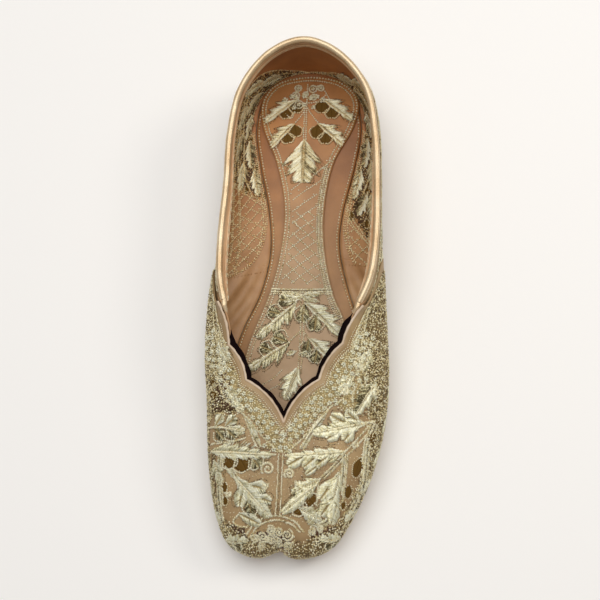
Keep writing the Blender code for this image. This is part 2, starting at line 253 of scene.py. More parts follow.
def outline(run, turn, inset=0.0):
    """Points of a closed outline, moved in by inset, as rows of (across, along) in metres."""
    turn = np.atleast_1d(np.asarray(turn, float))
    size = np.array([BALL_WIDTH, LENGTH])
    step = 0.004
    tangent = unit((smooth(run, (turn + step) % 2)[:, :2] - smooth(run, (turn - step) % 2)[:, :2]) * size)
    inward = np.stack([-tangent[:, 1], tangent[:, 0]], axis=1)
    return smooth(run, turn % 2)[:, :2] * size + inward * np.reshape(inset, (-1, 1))


def sole_low(along):
    """Height of the outsole's underside, flat on the floor under the ball."""
    return np.maximum(0.0, smooth(SOLE_PROFILE, np.asarray(along) / LENGTH)[:, 0])


def sole_top(along):
    return sole_low(along) + SOLE_THICK


def insole_top(along):
    return sole_top(along) + JOINT_GAP + INSOLE_THICK


def cleft(points):
    """Draws the toe's front back along the middle, deepest at the sole and gone over the toes."""
    across = (points[:, 0] - NOTCH_ACROSS) / NOTCH_HALF_WIDTH
    back = np.clip((points[:, 1] + LENGTH / 2) / NOTCH_RUN, 0, 1)
    up = np.clip(points[:, 2] / (0.62 * BACK_HEIGHT), 0, 1)
    moved = points.copy()
    moved[:, 1] += NOTCH_DEPTH * np.exp(-(across**2)) * (1 - back**2) ** 2 * (1 - up**2)
    return moved


def throat_place(turn):
    """Points of the vamp's scalloped edge. Each scallop is an arc between two of THROAT_POINTS."""
    turn = np.atleast_1d(turn)
    lateral = turn <= 1
    share = np.where(lateral, turn, 2 - turn)
    rows = np.array(THROAT_POINTS)
    i = np.clip(np.searchsorted(rows[:, 0], share) - 1, 0, len(rows) - 2)
    size = np.array([BALL_WIDTH, LENGTH, BACK_HEIGHT])
    places = np.where(lateral[None, :, None], rows[:, None, [3, 4, 5]], rows[:, None, [1, 2, 5]]) * size
    order = np.arange(len(turn))
    start, end = places[i, order], places[i + 1, order]
    t = ((share - rows[i, 0]) / (rows[i + 1, 0] - rows[i, 0]))[:, None]
    chord = end - start
    aside = np.stack([-chord[:, 1], chord[:, 0], np.zeros(len(turn))], axis=1)
    aside /= np.linalg.norm(chord[:, :2], axis=1)[:, None]
    aside = np.where(lateral[:, None], aside, -aside)
    return start + chord * t + aside * rows[i + 1, 6][:, None] * 4 * t * (1 - t)


def quarter_place(turn):
    return smooth(QUARTER_RUN, turn) * np.array([BALL_WIDTH, LENGTH, BACK_HEIGHT])


def away_from_opening(turn):
    """The level direction out from the top edge, read over a wide stretch so that scallops don't turn it."""
    reach = 0.10

    def place(at):
        at = at % 2
        on_vamp = np.minimum(at, 2 - at) < SEAM_TURN
        return np.where(on_vamp[:, None], throat_place(at), quarter_place(at))[:, :2]

    tangent = place(turn + reach) - place(turn - reach)
    return unit(np.stack([tangent[:, 1], -tangent[:, 0], np.zeros(len(turn))], axis=1))


def rib(turn, on_vamp):
    """Each rib's seven guide points: from the sole to the widest line, and from there to the top edge."""
    over, top_out, top_down = smooth(RIB_SHAPE, np.minimum(turn, 2 - turn)).T[:, :, None]
    up = np.array([0, 0, 1.0])
    foot = outline(SOLE_RUN, turn)
    base = np.column_stack([foot, sole_top(foot[:, 1]) + JOINT_GAP])
    belly = smooth(BELLY_RUN, turn) * np.array([BALL_WIDTH, LENGTH, 1])
    leave = base + (belly - base) * np.array([0.55, 0.55, 0.25])
    arrive = belly - up * (belly - base)[:, 2:] * 0.5
    top = throat_place(turn) if on_vamp else quarter_place(turn)
    under = top + away_from_opening(turn) * top_out - up * top_down
    return base, leave, arrive, belly, belly + up * over, under, top


def along_rib(guide, t):
    """A point on each rib, with the widest line at t = BELLY_AT."""
    low = (t < BELLY_AT)[:, None]
    a, b, c, d = (np.where(low, guide[k], guide[k + 3]) for k in range(4))
    t = np.where(low, t[:, None] / BELLY_AT, (t[:, None] - BELLY_AT) / (1 - BELLY_AT))
    return (1 - t) ** 3 * a + 3 * t * (1 - t) ** 2 * b + 3 * t**2 * (1 - t) * c + t**3 * d


def skin(turn, t, on_vamp, lift=0.0):
    """Points of the upper at a height over the quarters' outside, with the ways out of it and up it."""
    turn, t = (np.atleast_1d(np.asarray(x, float)) for x in np.broadcast_arrays(turn, t))
    turn = turn % 2
    reach, climb = 0.012, 0.03
    here = rib(turn, on_vamp)
    point = cleft(along_rib(here, t))
    ahead = cleft(along_rib(rib((turn + reach) % 2, on_vamp), t))
    behind = cleft(along_rib(rib((turn - reach) % 2, on_vamp), t))
    up = cleft(along_rib(here, np.minimum(t + climb, 1))) - cleft(along_rib(here, np.maximum(t - climb, 0)))
    out = unit(np.cross(ahead - behind, up))
    out[:, 2] *= ease(t, 0.0, 0.12)
    out = unit(out)
    return point + out * np.reshape(lift, (-1, 1)), out, unit(up)


# ---------------------------------------------------------------- making pieces


WELD = 0.004 * MM
SLIVER = 0.002 * MM
SHARP_FROM = math.radians(60)


def sheet(columns, rows, place, wrap=False):
    """A grid laid on a surface. place turns (u, v), each 0 to 1, into points and the ways out of them."""
    bm = bmesh.new()
    bm.loops.layers.uv.new("UVMap")
    bmesh.ops.create_grid(bm, x_segments=columns, y_segments=rows, size=0.5, calc_uvs=True)
    flat = np.array([vert.co[:2] for vert in bm.verts]) + 0.5
    points, outs = place(flat[:, 0], flat[:, 1])
    for vert, point in zip(bm.verts, points):
        vert.co = point
    bm.normal_update()
    if np.sum(np.array([vert.normal for vert in bm.verts]) * outs) < 0:
        bmesh.ops.reverse_faces(bm, faces=bm.faces)
    if wrap:
        bmesh.ops.remove_doubles(bm, verts=bm.verts, dist=WELD)
        bmesh.ops.dissolve_degenerate(bm, edges=bm.edges, dist=SLIVER)
    return bm


def capped(bm):
    bmesh.ops.holes_fill(bm, edges=[edge for edge in bm.edges if edge.is_boundary])
    return bm


def tube(centres, outs, radius, sides=12):
    """A cord along a row of points, with its UVs along and around it, closed at both ends."""
    ahead = np.roll(centres, -1, axis=0) - np.roll(centres, 1, axis=0)
    ahead[0], ahead[-1] = centres[1] - centres[0], centres[-1] - centres[-2]
    ahead = unit(ahead)
    aside = unit(np.cross(ahead, outs))
    over = np.cross(aside, ahead)
    last = len(centres) - 1
    radius = np.broadcast_to(radius, len(centres))

    def place(u, v):
        i = np.rint(u * last).astype(int)
        angle = 2 * math.pi * v[:, None]
        way = aside[i] * np.cos(angle) + over[i] * np.sin(angle)
        return centres[i] + way * radius[i, None], way

    return capped(sheet(last, sides, place, wrap=True))


def plate(border, spine, low, high, edge, around=320, inward=9):
    """A closed curved plate with rounded edges. border(share, inset) is its outline, and spine(share) the
    line down its middle that each place of the outline looks in to."""
    bend = np.linspace(0, math.pi / 2, 4)
    pulls = np.linspace(0, 1, inward + 1)[1:] ** 1.3
    corner = [(0.0, edge * (1 - math.sin(a)), edge * (1 - math.cos(a))) for a in bend]
    below = [(pull, edge, 0.0) for pull in pulls[::-1]] + [(0.0, inset, lift) for _, inset, lift in corner]
    levels = np.array([(*row, 0.0) for row in below] + [(*row, 1.0) for row in reversed(below)])

    def place(u, v):
        pull, inset, lift, top = levels[np.rint(v * (len(levels) - 1)).astype(int)].T
        flat = border(u, inset)
        flat = flat + (spine(u) - flat) * pull[:, None]
        height = np.where(top > 0, high(flat[:, 1]) - lift, low(flat[:, 1]) + lift)
        points = cleft(np.column_stack([flat, height]))
        return points, np.column_stack([np.zeros((len(u), 2)), top * 2 - 1])

    return capped(sheet(around, len(levels) - 1, place, wrap=True))


def round_border(run, inset=0.0):
    """The outline of a plate that goes all the way round, and its spine."""

    def border(share, more):
        return outline(run, share * 2, inset + more)

    def spine(share):
        turn = share * 2
        middle = (outline(run, turn, 0.0) + outline(run, 2 - turn, 0.0)) / 2
        middle[:, 1] = np.clip(middle[:, 1], -LENGTH / 2 + 0.036, LENGTH / 2 - 0.034)
        return middle

    return border, spine


def heel_border():
    """The heel's outline, with a straight breast across the sole."""
    breast = float(outline(SOLE_RUN, HEEL_BREAST_TURN, HEEL_INSET)[0, 1])
    arc = 0.86

    def border(share, more):
        turn = HEEL_BREAST_TURN + share / arc * 2 * (1 - HEEL_BREAST_TURN)
        curved = outline(SOLE_RUN, np.clip(turn, HEEL_BREAST_TURN, 2 - HEEL_BREAST_TURN), HEEL_INSET + more)
        end = outline(SOLE_RUN, HEEL_BREAST_TURN, HEEL_INSET)[0]
        medial = outline(SOLE_RUN, 2 - HEEL_BREAST_TURN, HEEL_INSET)[0]
        across = medial + (end - medial) * np.clip((share - arc) / (1 - arc), 0, 1)[:, None]
        flat = np.where((share > arc)[:, None], across, curved)
        flat[:, 1] = np.maximum(flat[:, 1], breast + more)
        return flat

    def spine(share):
        flat = border(share, np.zeros(len(share)))
        flat[:, 0] = flat[:, 0] * 0 + 0.0025
        flat[:, 1] = np.clip(flat[:, 1], breast + 0.012, LENGTH / 2 - 0.032)
        return flat

    return border, spine


def set_out(name, data):
    """Puts a mesh, a light or a camera into the scene, at the origin."""
    made = bpy.data.objects.new(name, data)
    bpy.context.scene.collection.objects.link(made)
    return made


def baked(name, bm):
    """A bmesh as a mesh, and the bmesh freed."""
    mesh = bpy.data.meshes.new(name)
    bm.to_mesh(mesh)
    bm.free()
    return mesh


def keep(name, bm, material, slot, replaced=(), thick=0.0):
    """Makes a bmesh a piece of the shoe. A sheet is given its thickness on the inner side."""
    mesh = baked(name, bm)
    mesh.shade_smooth()
    mesh.set_sharp_from_angle(angle=SHARP_FROM)
    mesh.materials.append(material)
    piece = set_out(name, mesh)
    if thick:
        wall = piece.modifiers.new("wall", "SOLIDIFY")
        wall.thickness = thick
        wall.offset = -1
    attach(piece, "root")
    if replaced:
        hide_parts(*replaced)


# ---------------------------------------------------------------- finishes


def srgb(code):
    """A hex colour as the linear values that a shader takes."""
    parts = [int(code[i : i + 2], 16) / 255 for i in (0, 2, 4)]
    return (*(c / 12.92 if c <= 0.04045 else ((c + 0.055) / 1.055) ** 2.4 for c in parts), 1.0)


def add(tree, kind, sockets=(), **settings):
    """Adds a node. sockets maps an input's name or number to a value or to another node's output."""
    made = tree.nodes.new(kind)
    for name, value in settings.items():
        setattr(made, name, value)
    for key, value in dict(sockets).items():
        if isinstance(value, bpy.types.NodeSocket):
            tree.links.new(value, made.inputs[key])
        else:
            made.inputs[key].default_value = value
    return made


def start_finish(name, **fixed):
    """A new material, with the shader's constant values set on its own sockets."""
    material = bpy.data.materials.new(name)
    material.use_nodes = True
    tree = material.node_tree
    shader = tree.nodes["Principled BSDF"]
    for socket, value in fixed.items():
        shader.inputs[socket.replace("_", " ")].default_value = value
    return material, tree, shader


def plain(name, code, **fixed):
    """A finish of one colour all over."""
    return start_finish(name, Base_Color=srgb(code), **fixed)[0]


def blend_colours(tree, share, low, high):
    ramp = add(tree, "ShaderNodeMix", {0: share}, data_type="RGBA")
    for key, value in ((6, low), (7, high)):
        if isinstance(value, bpy.types.NodeSocket):
            tree.links.new(value, ramp.inputs[key])
        else:
            ramp.inputs[key].default_value = value
    return ramp.outputs[2]


# How broad the mottling of a skin is, and how far back the heel's darker colours set in and are full. These
# colours are a browner leather there, with painted shade of the heel cup.
BLOTCH_MM = 14.0
HEEL_SHADE_FROM = -0.01
HEEL_SHADE_TO = 0.105


def leather(name, light, deep, grain_mm, grain_depth, roughness, heel=None, metal=0.0):
    """Smooth finished leather: a fine pebbled grain with pores, and a soft mottling where the dye took
    unevenly. The grain breaks the highlight up, and the mottling keeps a broad panel from looking moulded.
    heel is a darker pair of colours towards the back of the shoe: a browner leather there, darkened further
    as painted shade of the heel cup."""
    material, tree, shader = start_finish(name, IOR=1.5, Metallic=metal)
    light, deep = srgb(light), srgb(deep)
    place = add(tree, "ShaderNodeTexCoord").outputs["Object"]
    cells = add(tree, "ShaderNodeTexVoronoi", {"Vector": place, "Scale": 1000 / grain_mm}, feature="F1")
    fine_scale = 1000 / (grain_mm * 0.5)
    pores = add(tree, "ShaderNodeTexNoise", {"Vector": place, "Scale": fine_scale, "Detail": 2.0})
    blotch = add(tree, "ShaderNodeTexNoise", {"Vector": place, "Scale": 1000 / BLOTCH_MM, "Detail": 4.0})
    share = add(tree, "ShaderNodeMapRange", {0: blotch.outputs[0], 1: 0.35, 2: 0.68})
    if heel is not None:
        # The heel's darker pair: browner leather, and painted shade of the heel cup.
        along = add(tree, "ShaderNodeSeparateXYZ", {0: place}).outputs["Y"]
        span = {0: along, 1: HEEL_SHADE_FROM, 2: HEEL_SHADE_TO}
        back = add(tree, "ShaderNodeMapRange", span, interpolation_type="SMOOTHSTEP").outputs[0]
        light, deep = (blend_colours(tree, back, *two) for two in zip((light, deep), map(srgb, heel)))
    colour = blend_colours(tree, share.outputs[0], deep, light)
    grain = add(tree, "ShaderNodeMath", {0: cells.outputs["Distance"], 1: pores.outputs[0]}, operation="ADD")
    relief = {"Height": grain.outputs[0], "Distance": grain_depth * MM, "Strength": 0.8}
    bump = add(tree, "ShaderNodeBump", relief)
    dull = {0: pores.outputs[0], 1: 0.3, 2: 0.7, 3: roughness - 0.08, 4: roughness + 0.10}
    shine = add(tree, "ShaderNodeMapRange", dull)
    tree.links.new(colour, shader.inputs["Base Color"])
    tree.links.new(shine.outputs[0], shader.inputs["Roughness"])
    tree.links.new(bump.outputs[0], shader.inputs["Normal"])
    return material


GLINT_MM = 0.75


def metal_thread(name, dark, middle, light, roughness, metal):
    """Flat metal strip wound on a core. Each stitch has its own tone. A fine noise bumps the surface for the
    winding, and also lightens and darkens the colour in spots as painted glints, drawn coarser than the real
    strip so that they show."""
    material, tree, shader = start_finish(name, Metallic=metal, Roughness=roughness)
    place = add(tree, "ShaderNodeTexCoord").outputs["Object"]
    tone = add(tree, "ShaderNodeAttribute", attribute_name="tone").outputs["Fac"]
    winding = {"Vector": place, "Scale": 1000 / GLINT_MM, "Detail": 1.0}
    glint = add(tree, "ShaderNodeTexNoise", winding).outputs[0]
    # The same noise moves each spot's tone up and down: painted glints.
    painted_glint = add(tree, "ShaderNodeMapRange", {0: glint, 1: 0.3, 2: 0.7, 3: -0.26, 4: 0.26}).outputs[0]
    shade = add(tree, "ShaderNodeMath", {0: tone, 1: painted_glint}, operation="ADD").outputs[0]
    ramp = add(tree, "ShaderNodeValToRGB", {0: shade})
    ramp.color_ramp.elements[0].color = srgb(dark)
    ramp.color_ramp.elements[1].color = srgb(light)
    ramp.color_ramp.elements.new(0.5).color = srgb(middle)
    bump = add(tree, "ShaderNodeBump", {"Height": glint, "Distance": 0.12 * MM, "Strength": 0.7})
    tree.links.new(ramp.outputs[0], shader.inputs["Base Color"])
    tree.links.new(bump.outputs[0], shader.inputs["Normal"])
    return material


# ---------------------------------------------------------------- the shell


VAMP_END = SEAM_TURN + 0.012

# Layers of the shell: how thick each is, and how far the lining's foot tucks under the sock and sinks in it.
VAMP_LAYER = VAMP_STEP + 0.0001
QUARTER_LAYER = 0.0009
LINING_LAYER = 0.0008
BINDING_LAYER = 0.0006
LINING_TUCK = 0.0004
LINING_SUNK = 0.0005

# The black facing, which also paints the shadow under the vamp's edge, runs round the front of the opening,
# and ends sooner on the medial side.
FACING_FROM = -0.37
FACING_TO = 0.43


def vamp_skin(turn, t, lift=VAMP_STEP):
    return skin(turn, t, True, lift)


def make_vamp_leather(material):
    def place(u, v):
        turn = (u * 2 - 1) * VAMP_END
        points, outs, _ = vamp_skin(turn, v)
        return points, outs

    bm = sheet(240, 40, place)
    shell = BVHTree.FromBMesh(bm)
    keep("vamp_leather", bm, material, "upper_leather", ["upper"], thick=VAMP_LAYER)
    return shell


def make_quarter_leather(material):
    def place(u, v):
        turn = SEAM_TURN + u * (2 - 2 * SEAM_TURN)
        points, outs, _ = skin(turn, v, False)
        return points, outs

    keep("quarter_leather", sheet(280, 24, place), material, "upper_leather", ["upper"], thick=QUARTER_LAYER)


def forward_along(hand):
    """Turns from toe to heel on one side, and how many mm forward of the back seam each of them lies."""
    turns = np.linspace(0, 1, 241)
    belly = smooth(BELLY_RUN, turns if hand > 0 else 2 - turns)[:, :2] * np.array([BALL_WIDTH, LENGTH]) / MM
    steps = run_along(belly)
    return turns, steps[-1] - steps


LINING_FOLDS = (
    # side, from mm forward, mm up from the sock, to mm forward, mm up, width, depth in mm
    (-1, 128, 4.0, 153, 10.5, 1.3, 0.9),
    (-1, 130, 10.5, 152, 21.0, 3.0, 1.8),
    (-1, 143, 3.0, 160, 7.0, 1.2, 0.7),
    (-1, 136, 21.5, 146, 25.0, 1.5, 0.6),
    (-1, 88, 12.0, 104, 1.0, 1.6, 0.8),
    (-1, 52, 6.0, 70, 14.0, 1.8, 0.7),
    (1, 130, 3.5, 148, 9.0, 1.4, 0.9),
    (1, 124, 9.0, 143, 19.0, 2.8, 1.5),
    (1, 78, 2.5, 104, 5.0, 1.8, 0.8),
)


def inner_ribs(turns, on_vamp):
    """The lining's own ribs: in a soft curve off the sock's edge and up the wall to its top edge.
    Gives points by rib and level, the ways into the shoe, and each rib's length in mm."""
    rows = 64
    at = np.linspace(0, 1, 81)
    grid_turn, grid_level = (x.ravel() for x in np.meshgrid(turns, at, indexing="ij"))
    wall = skin(grid_turn, grid_level, on_vamp, -WALL_THICK)[0].reshape(len(turns), len(at), 3)
    edge = outline(SOLE_RUN, turns, SOCK_INSET - LINING_TUCK)
    foot = np.column_stack([edge, insole_top(edge[:, 1]) - LINING_SUNK])
    shares = np.linspace(0, 1, 12)[:, None]
    ribs = np.empty((len(turns), rows, 3))
    lengths = np.empty(len(turns))
    for k, column in enumerate(wall):
        clear = np.nonzero(column[:, 2] < insole_top(column[:, 1]) + 0.0006)[0]
        first = min(clear[-1] + 3 if len(clear) else 3, len(at) - 6)
        land, lean = column[first], unit(column[first + 1] - column[first])
        reach = np.linalg.norm(land - foot[k])
        level = (land - foot[k]) * np.array([1, 1, 0])
        bend = (foot[k] + level * 0.5 + land - lean * reach * 0.5) / 2
        cove = foot[k] * (1 - shares) ** 2 + bend * 2 * shares * (1 - shares) + land * shares**2
        line = np.concatenate([cove, column[first + 1 :]])
        run = run_along(line)
        lengths[k] = run[-1] / MM
        for axis in range(3):
            ribs[k, :, axis] = np.interp(np.linspace(0, run[-1], rows), run, line[:, axis])
    along, up = np.gradient(ribs, axis=0), np.gradient(ribs, axis=1)
    inward = unit(np.cross(up, along))
    return ribs, inward, lengths


def fold_depth(turn, up):
    """How far the folds of the soft lining stand in from the wall, in metres, up in mm from the sock."""
    shift = np.zeros(np.shape(turn))
    for hand, from_a, from_h, to_a, to_h, width, depth in LINING_FOLDS:
        turns, forward = forward_along(hand)
        side = turn % 2 if hand > 0 else 2 - turn % 2
        place = np.stack([np.interp(side, turns, forward), up], axis=-1) - (from_a, from_h)
        way = np.array([to_a - from_a, to_h - from_h])
        long = np.linalg.norm(way)
        share = place @ way / long**2
        across = (place[..., 0] * way[1] - place[..., 1] * way[0]) / long
        rise = ease(share, -0.1, 0.35) * (1 - ease(share, 0.65, 1.1)) * (side <= 1)
        shift += depth * MM * rise * np.exp(-((across / width) ** 2))
    return shift


def lining_cloth(first, last, on_vamp):
    """The lining's surface between two turns as a function of (turn, mm up from the sock's edge)."""
    turns = np.linspace(first, last, max(60, int(abs(last - first) * 260)))
    ribs, inward, lengths = inner_ribs(turns, on_vamp)
    up = lengths[:, None] * np.linspace(0, 1, ribs.shape[1])
    ribs = ribs + inward * fold_depth(np.repeat(turns[:, None], ribs.shape[1], 1), up)[:, :, None]
    along, upward = np.gradient(ribs, axis=0), np.gradient(ribs, axis=1)
    inward = unit(np.cross(upward, along))

    def cloth(turn, up):
        i = np.clip((turn - first) / (last - first) * (len(turns) - 1), 0, len(turns) - 1.001)
        v = up / np.interp(turn, turns, lengths) * (ribs.shape[1] - 1)
        off = (v < 0) | (v > ribs.shape[1] - 1) | (turn < first) | (turn > last)
        j = np.clip(v, 0, ribs.shape[1] - 1.001)
        i0, j0 = i.astype(int), j.astype(int)
        di, dj = (i - i0)[:, None], (j - j0)[:, None]

        def read(grid):
            low = grid[i0, j0] * (1 - di) + grid[i0 + 1, j0] * di
            high = grid[i0, j0 + 1] * (1 - di) + grid[i0 + 1, j0 + 1] * di
            return low * (1 - dj) + high * dj

        points = read(ribs)
        points[off] = np.nan
        return points, unit(read(inward))

    cloth.lengths = (turns, lengths)
    return cloth


def make_linings(material):
    vamp_side = lining_cloth(-VAMP_END, VAMP_END, True)
    quarter_side = lining_cloth(SEAM_TURN, 2 - SEAM_TURN, False)
    for name, cloth in (("vamp_lining", vamp_side), ("quarter_lining", quarter_side)):
        turns, lengths = cloth.lengths

        def place(u, v):
            turn = turns[0] + u * (turns[-1] - turns[0])
            turn = np.clip(turn, turns[0] + 1e-6, turns[-1] - 1e-6)
            up = np.clip(v, 1e-5, 1 - 1e-5) * np.interp(turn, turns, lengths)
            return cloth(turn, up)

        keep(name, sheet(330, 36, place), material, "lining_leather", ["upper"], thick=LINING_LAYER)
    return quarter_side


def make_collar_piping(material):
    """The gold cord round the collar, slightly uneven, and its two ends that run down under the vamp."""

    def cord_line(turn):
        edge, out, rise = skin(turn, 1.0, False)
        return edge - out * WALL_THICK / 2 + rise * CORD_UP, rise

    turn = np.linspace(VAMP_END, 2 - VAMP_END, 420)
    centres, rise = cord_line(turn)
    radius = PIPING_RADIUS * (1 + 0.03 * np.sin(turn * 190) * np.sin(turn * 37))
    cord = tube(centres, rise, radius, sides=12)
    keep("collar_cord", cord, material, "gold_piping", ["collar_piping"])
    ends = (("lateral_cord_tail", VAMP_END, 0.385), ("medial_cord_tail", 2 - VAMP_END, 1.615))
    for name, start, to in ends:
        share = np.linspace(0, 1, 60)
        edge, out, rise = vamp_skin(start + (to - start) * share, 1.0)
        along = edge - out * 0.0026 - rise * (0.0002 + 0.0012 * share[:, None])
        joined = ease(share, 0.0, 0.25)[:, None]
        centres = (cord_line(start)[0] + along - along[0]) * (1 - joined) + along * joined
        thin = PIPING_RADIUS * (0.97 - 0.8 * ease(share, 0.0, 0.9))
        keep(name, tube(centres, rise, thin, sides=16), material, "gold_piping")


# How deep the collar's binding is in mm, its welts as (mm below the edge, radius), and how they sit on it.
BINDING_DEEP = 5.0
BINDING_WELTS = ((2.3, 0.0005), (4.1, 0.00055))
ON_BINDING = 0.0003


def binding_stand(turn, down):
    """How far the padded binding stands in from the wall, in metres, at so many mm below the collar's edge.
    It is flat at the heel, plumper along the sides, and turns back to the wall at its lower edge."""
    share = down / BINDING_DEEP
    plump = 0.0019 * (1 - ease(np.minimum(turn, 2 - turn), 0.5, 0.85))
    return 0.0005 + plump * ease(share, 0.0, 0.7) * (1 - ease(share, 0.82, 1.0))


def below_collar(turn, down, proud=0.0):
    """Points on the padded binding at so many mm below the collar's edge, with the ways out of the wall."""
    level = 1 - down * MM / wall_length(turn)
    return skin(turn, level, False, -WALL_THICK - proud - binding_stand(turn, down))[:2]


def make_collar_binding(material):
    """A turned-in padded strip under the collar's cord, with thin welts near its middle and lower edge."""

    def place(u, v):
        points, outs = below_collar(VAMP_END + u * (2 - 2 * VAMP_END), v * BINDING_DEEP)
        return points, -outs

    keep("collar_binding", sheet(420, 10, place), material, "gold_piping", thick=BINDING_LAYER)
    turn = np.linspace(VAMP_END, 2 - VAMP_END, 420)
    for name, (down, radius) in zip(("collar_welt", "collar_welt_low"), BINDING_WELTS):
        centres, out = below_collar(turn, down, ON_BINDING)
        keep(name, tube(centres, out, radius, sides=6), material, "gold_piping")


def wall_length(turn):
    """How far it is up the outside of each quarter rib, in metres, judged from its upper half."""
    points = [skin(turn, level, False)[0] for level in np.linspace(0.5, 1, 9)]
    return sum(np.linalg.norm(b - a, axis=1) for a, b in zip(points, points[1:])) / 0.5


def make_throat_edge(edge_material, facing_and_shadow_material):
    """The vamp's turned edge, as a fine roll, and the dark facing that shows inside it, which also paints
    the shadow under the edge.
    """
    turn = np.linspace(-VAMP_END, VAMP_END, 700)
    edge, out, _ = vamp_skin(turn, 1.0)
    uneven = 0.00012 * np.sin(turn * 61) * np.sin(turn * 143 + 1)
    roll = edge - out * (0.0004 + uneven)[:, None]
    keep("throat_roll", tube(roll, out, 0.0006 + uneven, sides=8), edge_material, "upper_leather")
    turn = np.linspace(FACING_FROM, FACING_TO, 560)
    edge, out, rise = vamp_skin(turn, 1.0)
    begins, ends = ease(turn, FACING_FROM, FACING_FROM + 0.05), ease(turn, FACING_TO - 0.05, FACING_TO)
    thick = 0.0017 * begins * (1 - ends) * (1 + 0.16 * np.sin(turn * 83) * np.sin(turn * 29 + 2)) + 0.0002
    inner = edge - out * 0.0024 + rise * 0.0001
    keep("throat_facing_and_shadow", tube(inner, out, thick, sides=10), facing_and_shadow_material, "lining_leather")


def make_soles(sole, heel, insole, pad):
    """The sole, the heel, the sock and the pad on it. Gives the last two as surfaces to sew on."""

    def floor(along):
        return np.zeros(len(along))

    def under_sole(along):
        return sole_low(along) - JOINT_GAP

    def over_sole(along):
        return sole_top(along) + JOINT_GAP

    def under_pad(along):
        return insole_top(along) + JOINT_GAP

    def pad_top(along):
        return under_pad(along) + PAD_THICK

    outer = plate(*round_border(SOLE_RUN, -SOLE_MARGIN), sole_low, sole_top, 0.0009)
    block = plate(*heel_border(), floor, under_sole, 0.0006)
    sock = plate(*round_border(SOLE_RUN, SOCK_INSET), over_sole, insole_top, 0.0008)
    padding = plate(*round_border(PAD_RUN), under_pad, pad_top, 0.0005)
    shells = [BVHTree.FromBMesh(bm) for bm in (sock, padding)]
    keep("outer_sole", outer, sole, "sole_leather", ["outsole"])
    keep("heel_block", block, heel, "heel_leather", ["heel"])
    keep("sock", sock, insole, "insole_leather", ["insole"])
    keep("centre_pad", padding, pad, "pad_leather", ["insole_pad"])
    return shells


# ---------------------------------------------------------------- the stage


FLOOR_SIZE = 3.0
ROOM_LIGHT = 0.24
LAMPS = (
    # name, place, size, watts, colour
    ("overhead", (-0.05, 0.25, 1.30), 1.5, 14.0, "FFFFFF"),
    ("key", (0.75, 0.30, 0.70), 0.35, 2.0, "FFF9F0"),
)
LAMPS_AIM = Vector((0, 0, 0.02))


def make_stage():
    """Pale matt studio paper, a soft light from above and a small warm one from the heel's lateral side."""
    bm = bmesh.new()
    bmesh.ops.create_grid(bm, x_segments=1, y_segments=1, size=FLOOR_SIZE)
    mesh = baked("floor", bm)
    mesh.materials.append(plain("studio_paper", "FFFCF8", Roughness=0.9))
    floor = set_out("floor", mesh)

    world = bpy.data.worlds.new("studio")
    bpy.context.scene.world = world
    world.use_nodes = True
    room = world.node_tree.nodes["Background"].inputs
    room["Color"].default_value = srgb("F3F3F3")
    room["Strength"].default_value = ROOM_LIGHT
    for name, place, size, watts, colour in LAMPS:
        light = bpy.data.lights.new(name, "AREA")
        light.shape = "DISK"
        light.size = size
        light.energy = watts
        light.color = srgb(colour)[:3]
        lamp = set_out(name, light)
        lamp.location = place
        lamp.rotation_euler = (LAMPS_AIM - Vector(place)).to_track_quat("-Z", "Y").to_euler()
    bpy.context.scene.view_settings.view_transform = "Standard"


CAMERA_PLACE = Vector((0.0601, -0.1655, 0.627))
CAMERA_AIM = Vector((0.001, -0.002, 0.018))
CAMERA_TILT = math.radians(16)
LENS_MM = 78


def make_camera():
    """Looks down on the shoe from over its toes and a little to the lateral side, without a roll."""
    camera = bpy.data.cameras.new("camera")
    camera.lens = LENS_MM
    camera.sensor_width = 36
    viewer = set_out("camera", camera)
    level = Matrix.Rotation(CAMERA_TILT, 3, "X")
    straight = level @ Vector((0, 0, -1))
    turn = straight.rotation_difference(CAMERA_AIM - CAMERA_PLACE).to_matrix()
    viewer.matrix_world = Matrix.LocRotScale(CAMERA_PLACE, (turn @ level).to_quaternion(), None)
    bpy.context.scene.camera = viewer


# ---------------------------------------------------------------- cloths: a design in mm, laid on the shoe


def seen_from_above(shell):
    """A cloth for designs drawn in plan: across and along, dropped onto a surface."""

    def cloth(flat):
        points = np.full((len(flat), 3), np.nan)
        outs = np.tile([0, 0, 1.0], (len(flat), 1))
        for i, (across, along) in enumerate(flat * MM):
            hit, normal, _, _ = shell.ray_cast(Vector((across, along, 0.2)), Vector((0, 0, -1)))
            if hit is not None:
                points[i], outs[i] = hit, normal
        return points, outs

    return cloth


def along_side(hand, on_vamp, lift):
    """A cloth for one side of the upper: mm forward from the back seam along the widest line, and mm up the
    wall from the sole. hand is 1 for the lateral side and -1 for the medial side."""
    turns, forward = forward_along(hand)
    levels = np.linspace(0, 1, 61)
    grid_turn, grid_level = np.meshgrid(turns if hand > 0 else 2 - turns, levels, indexing="ij")
    points, _, _ = skin(grid_turn.ravel(), grid_level.ravel(), on_vamp)
    points = points.reshape(len(turns), len(levels), 3) / MM
    climbed = np.cumsum(np.linalg.norm(np.diff(points, axis=1), axis=2), axis=1)
    climbed = np.concatenate([np.zeros((len(turns), 1)), climbed], axis=1)

    def cloth(flat):
        turn = np.interp(flat[:, 0], forward[::-1], turns[::-1])
        i = np.clip((turn * (len(turns) - 1)).astype(int), 0, len(turns) - 2)
        share = turn * (len(turns) - 1) - i
        runs = climbed[i] * (1 - share[:, None]) + climbed[i + 1] * share[:, None]
        j = np.clip((runs < flat[:, 1:2]).sum(axis=1) - 1, 0, len(levels) - 2)
        order = np.arange(len(flat))
        t = (j + (flat[:, 1] - runs[order, j]) / (runs[order, j + 1] - runs[order, j])) / (len(levels) - 1)
        off = (t < 0) | (t > 1)
        at = turn if hand > 0 else 2 - turn
        points, outs, _ = skin(at, np.clip(t, 0, 1), on_vamp, lift)
        points[off] = np.nan
        return points, outs

    return cloth


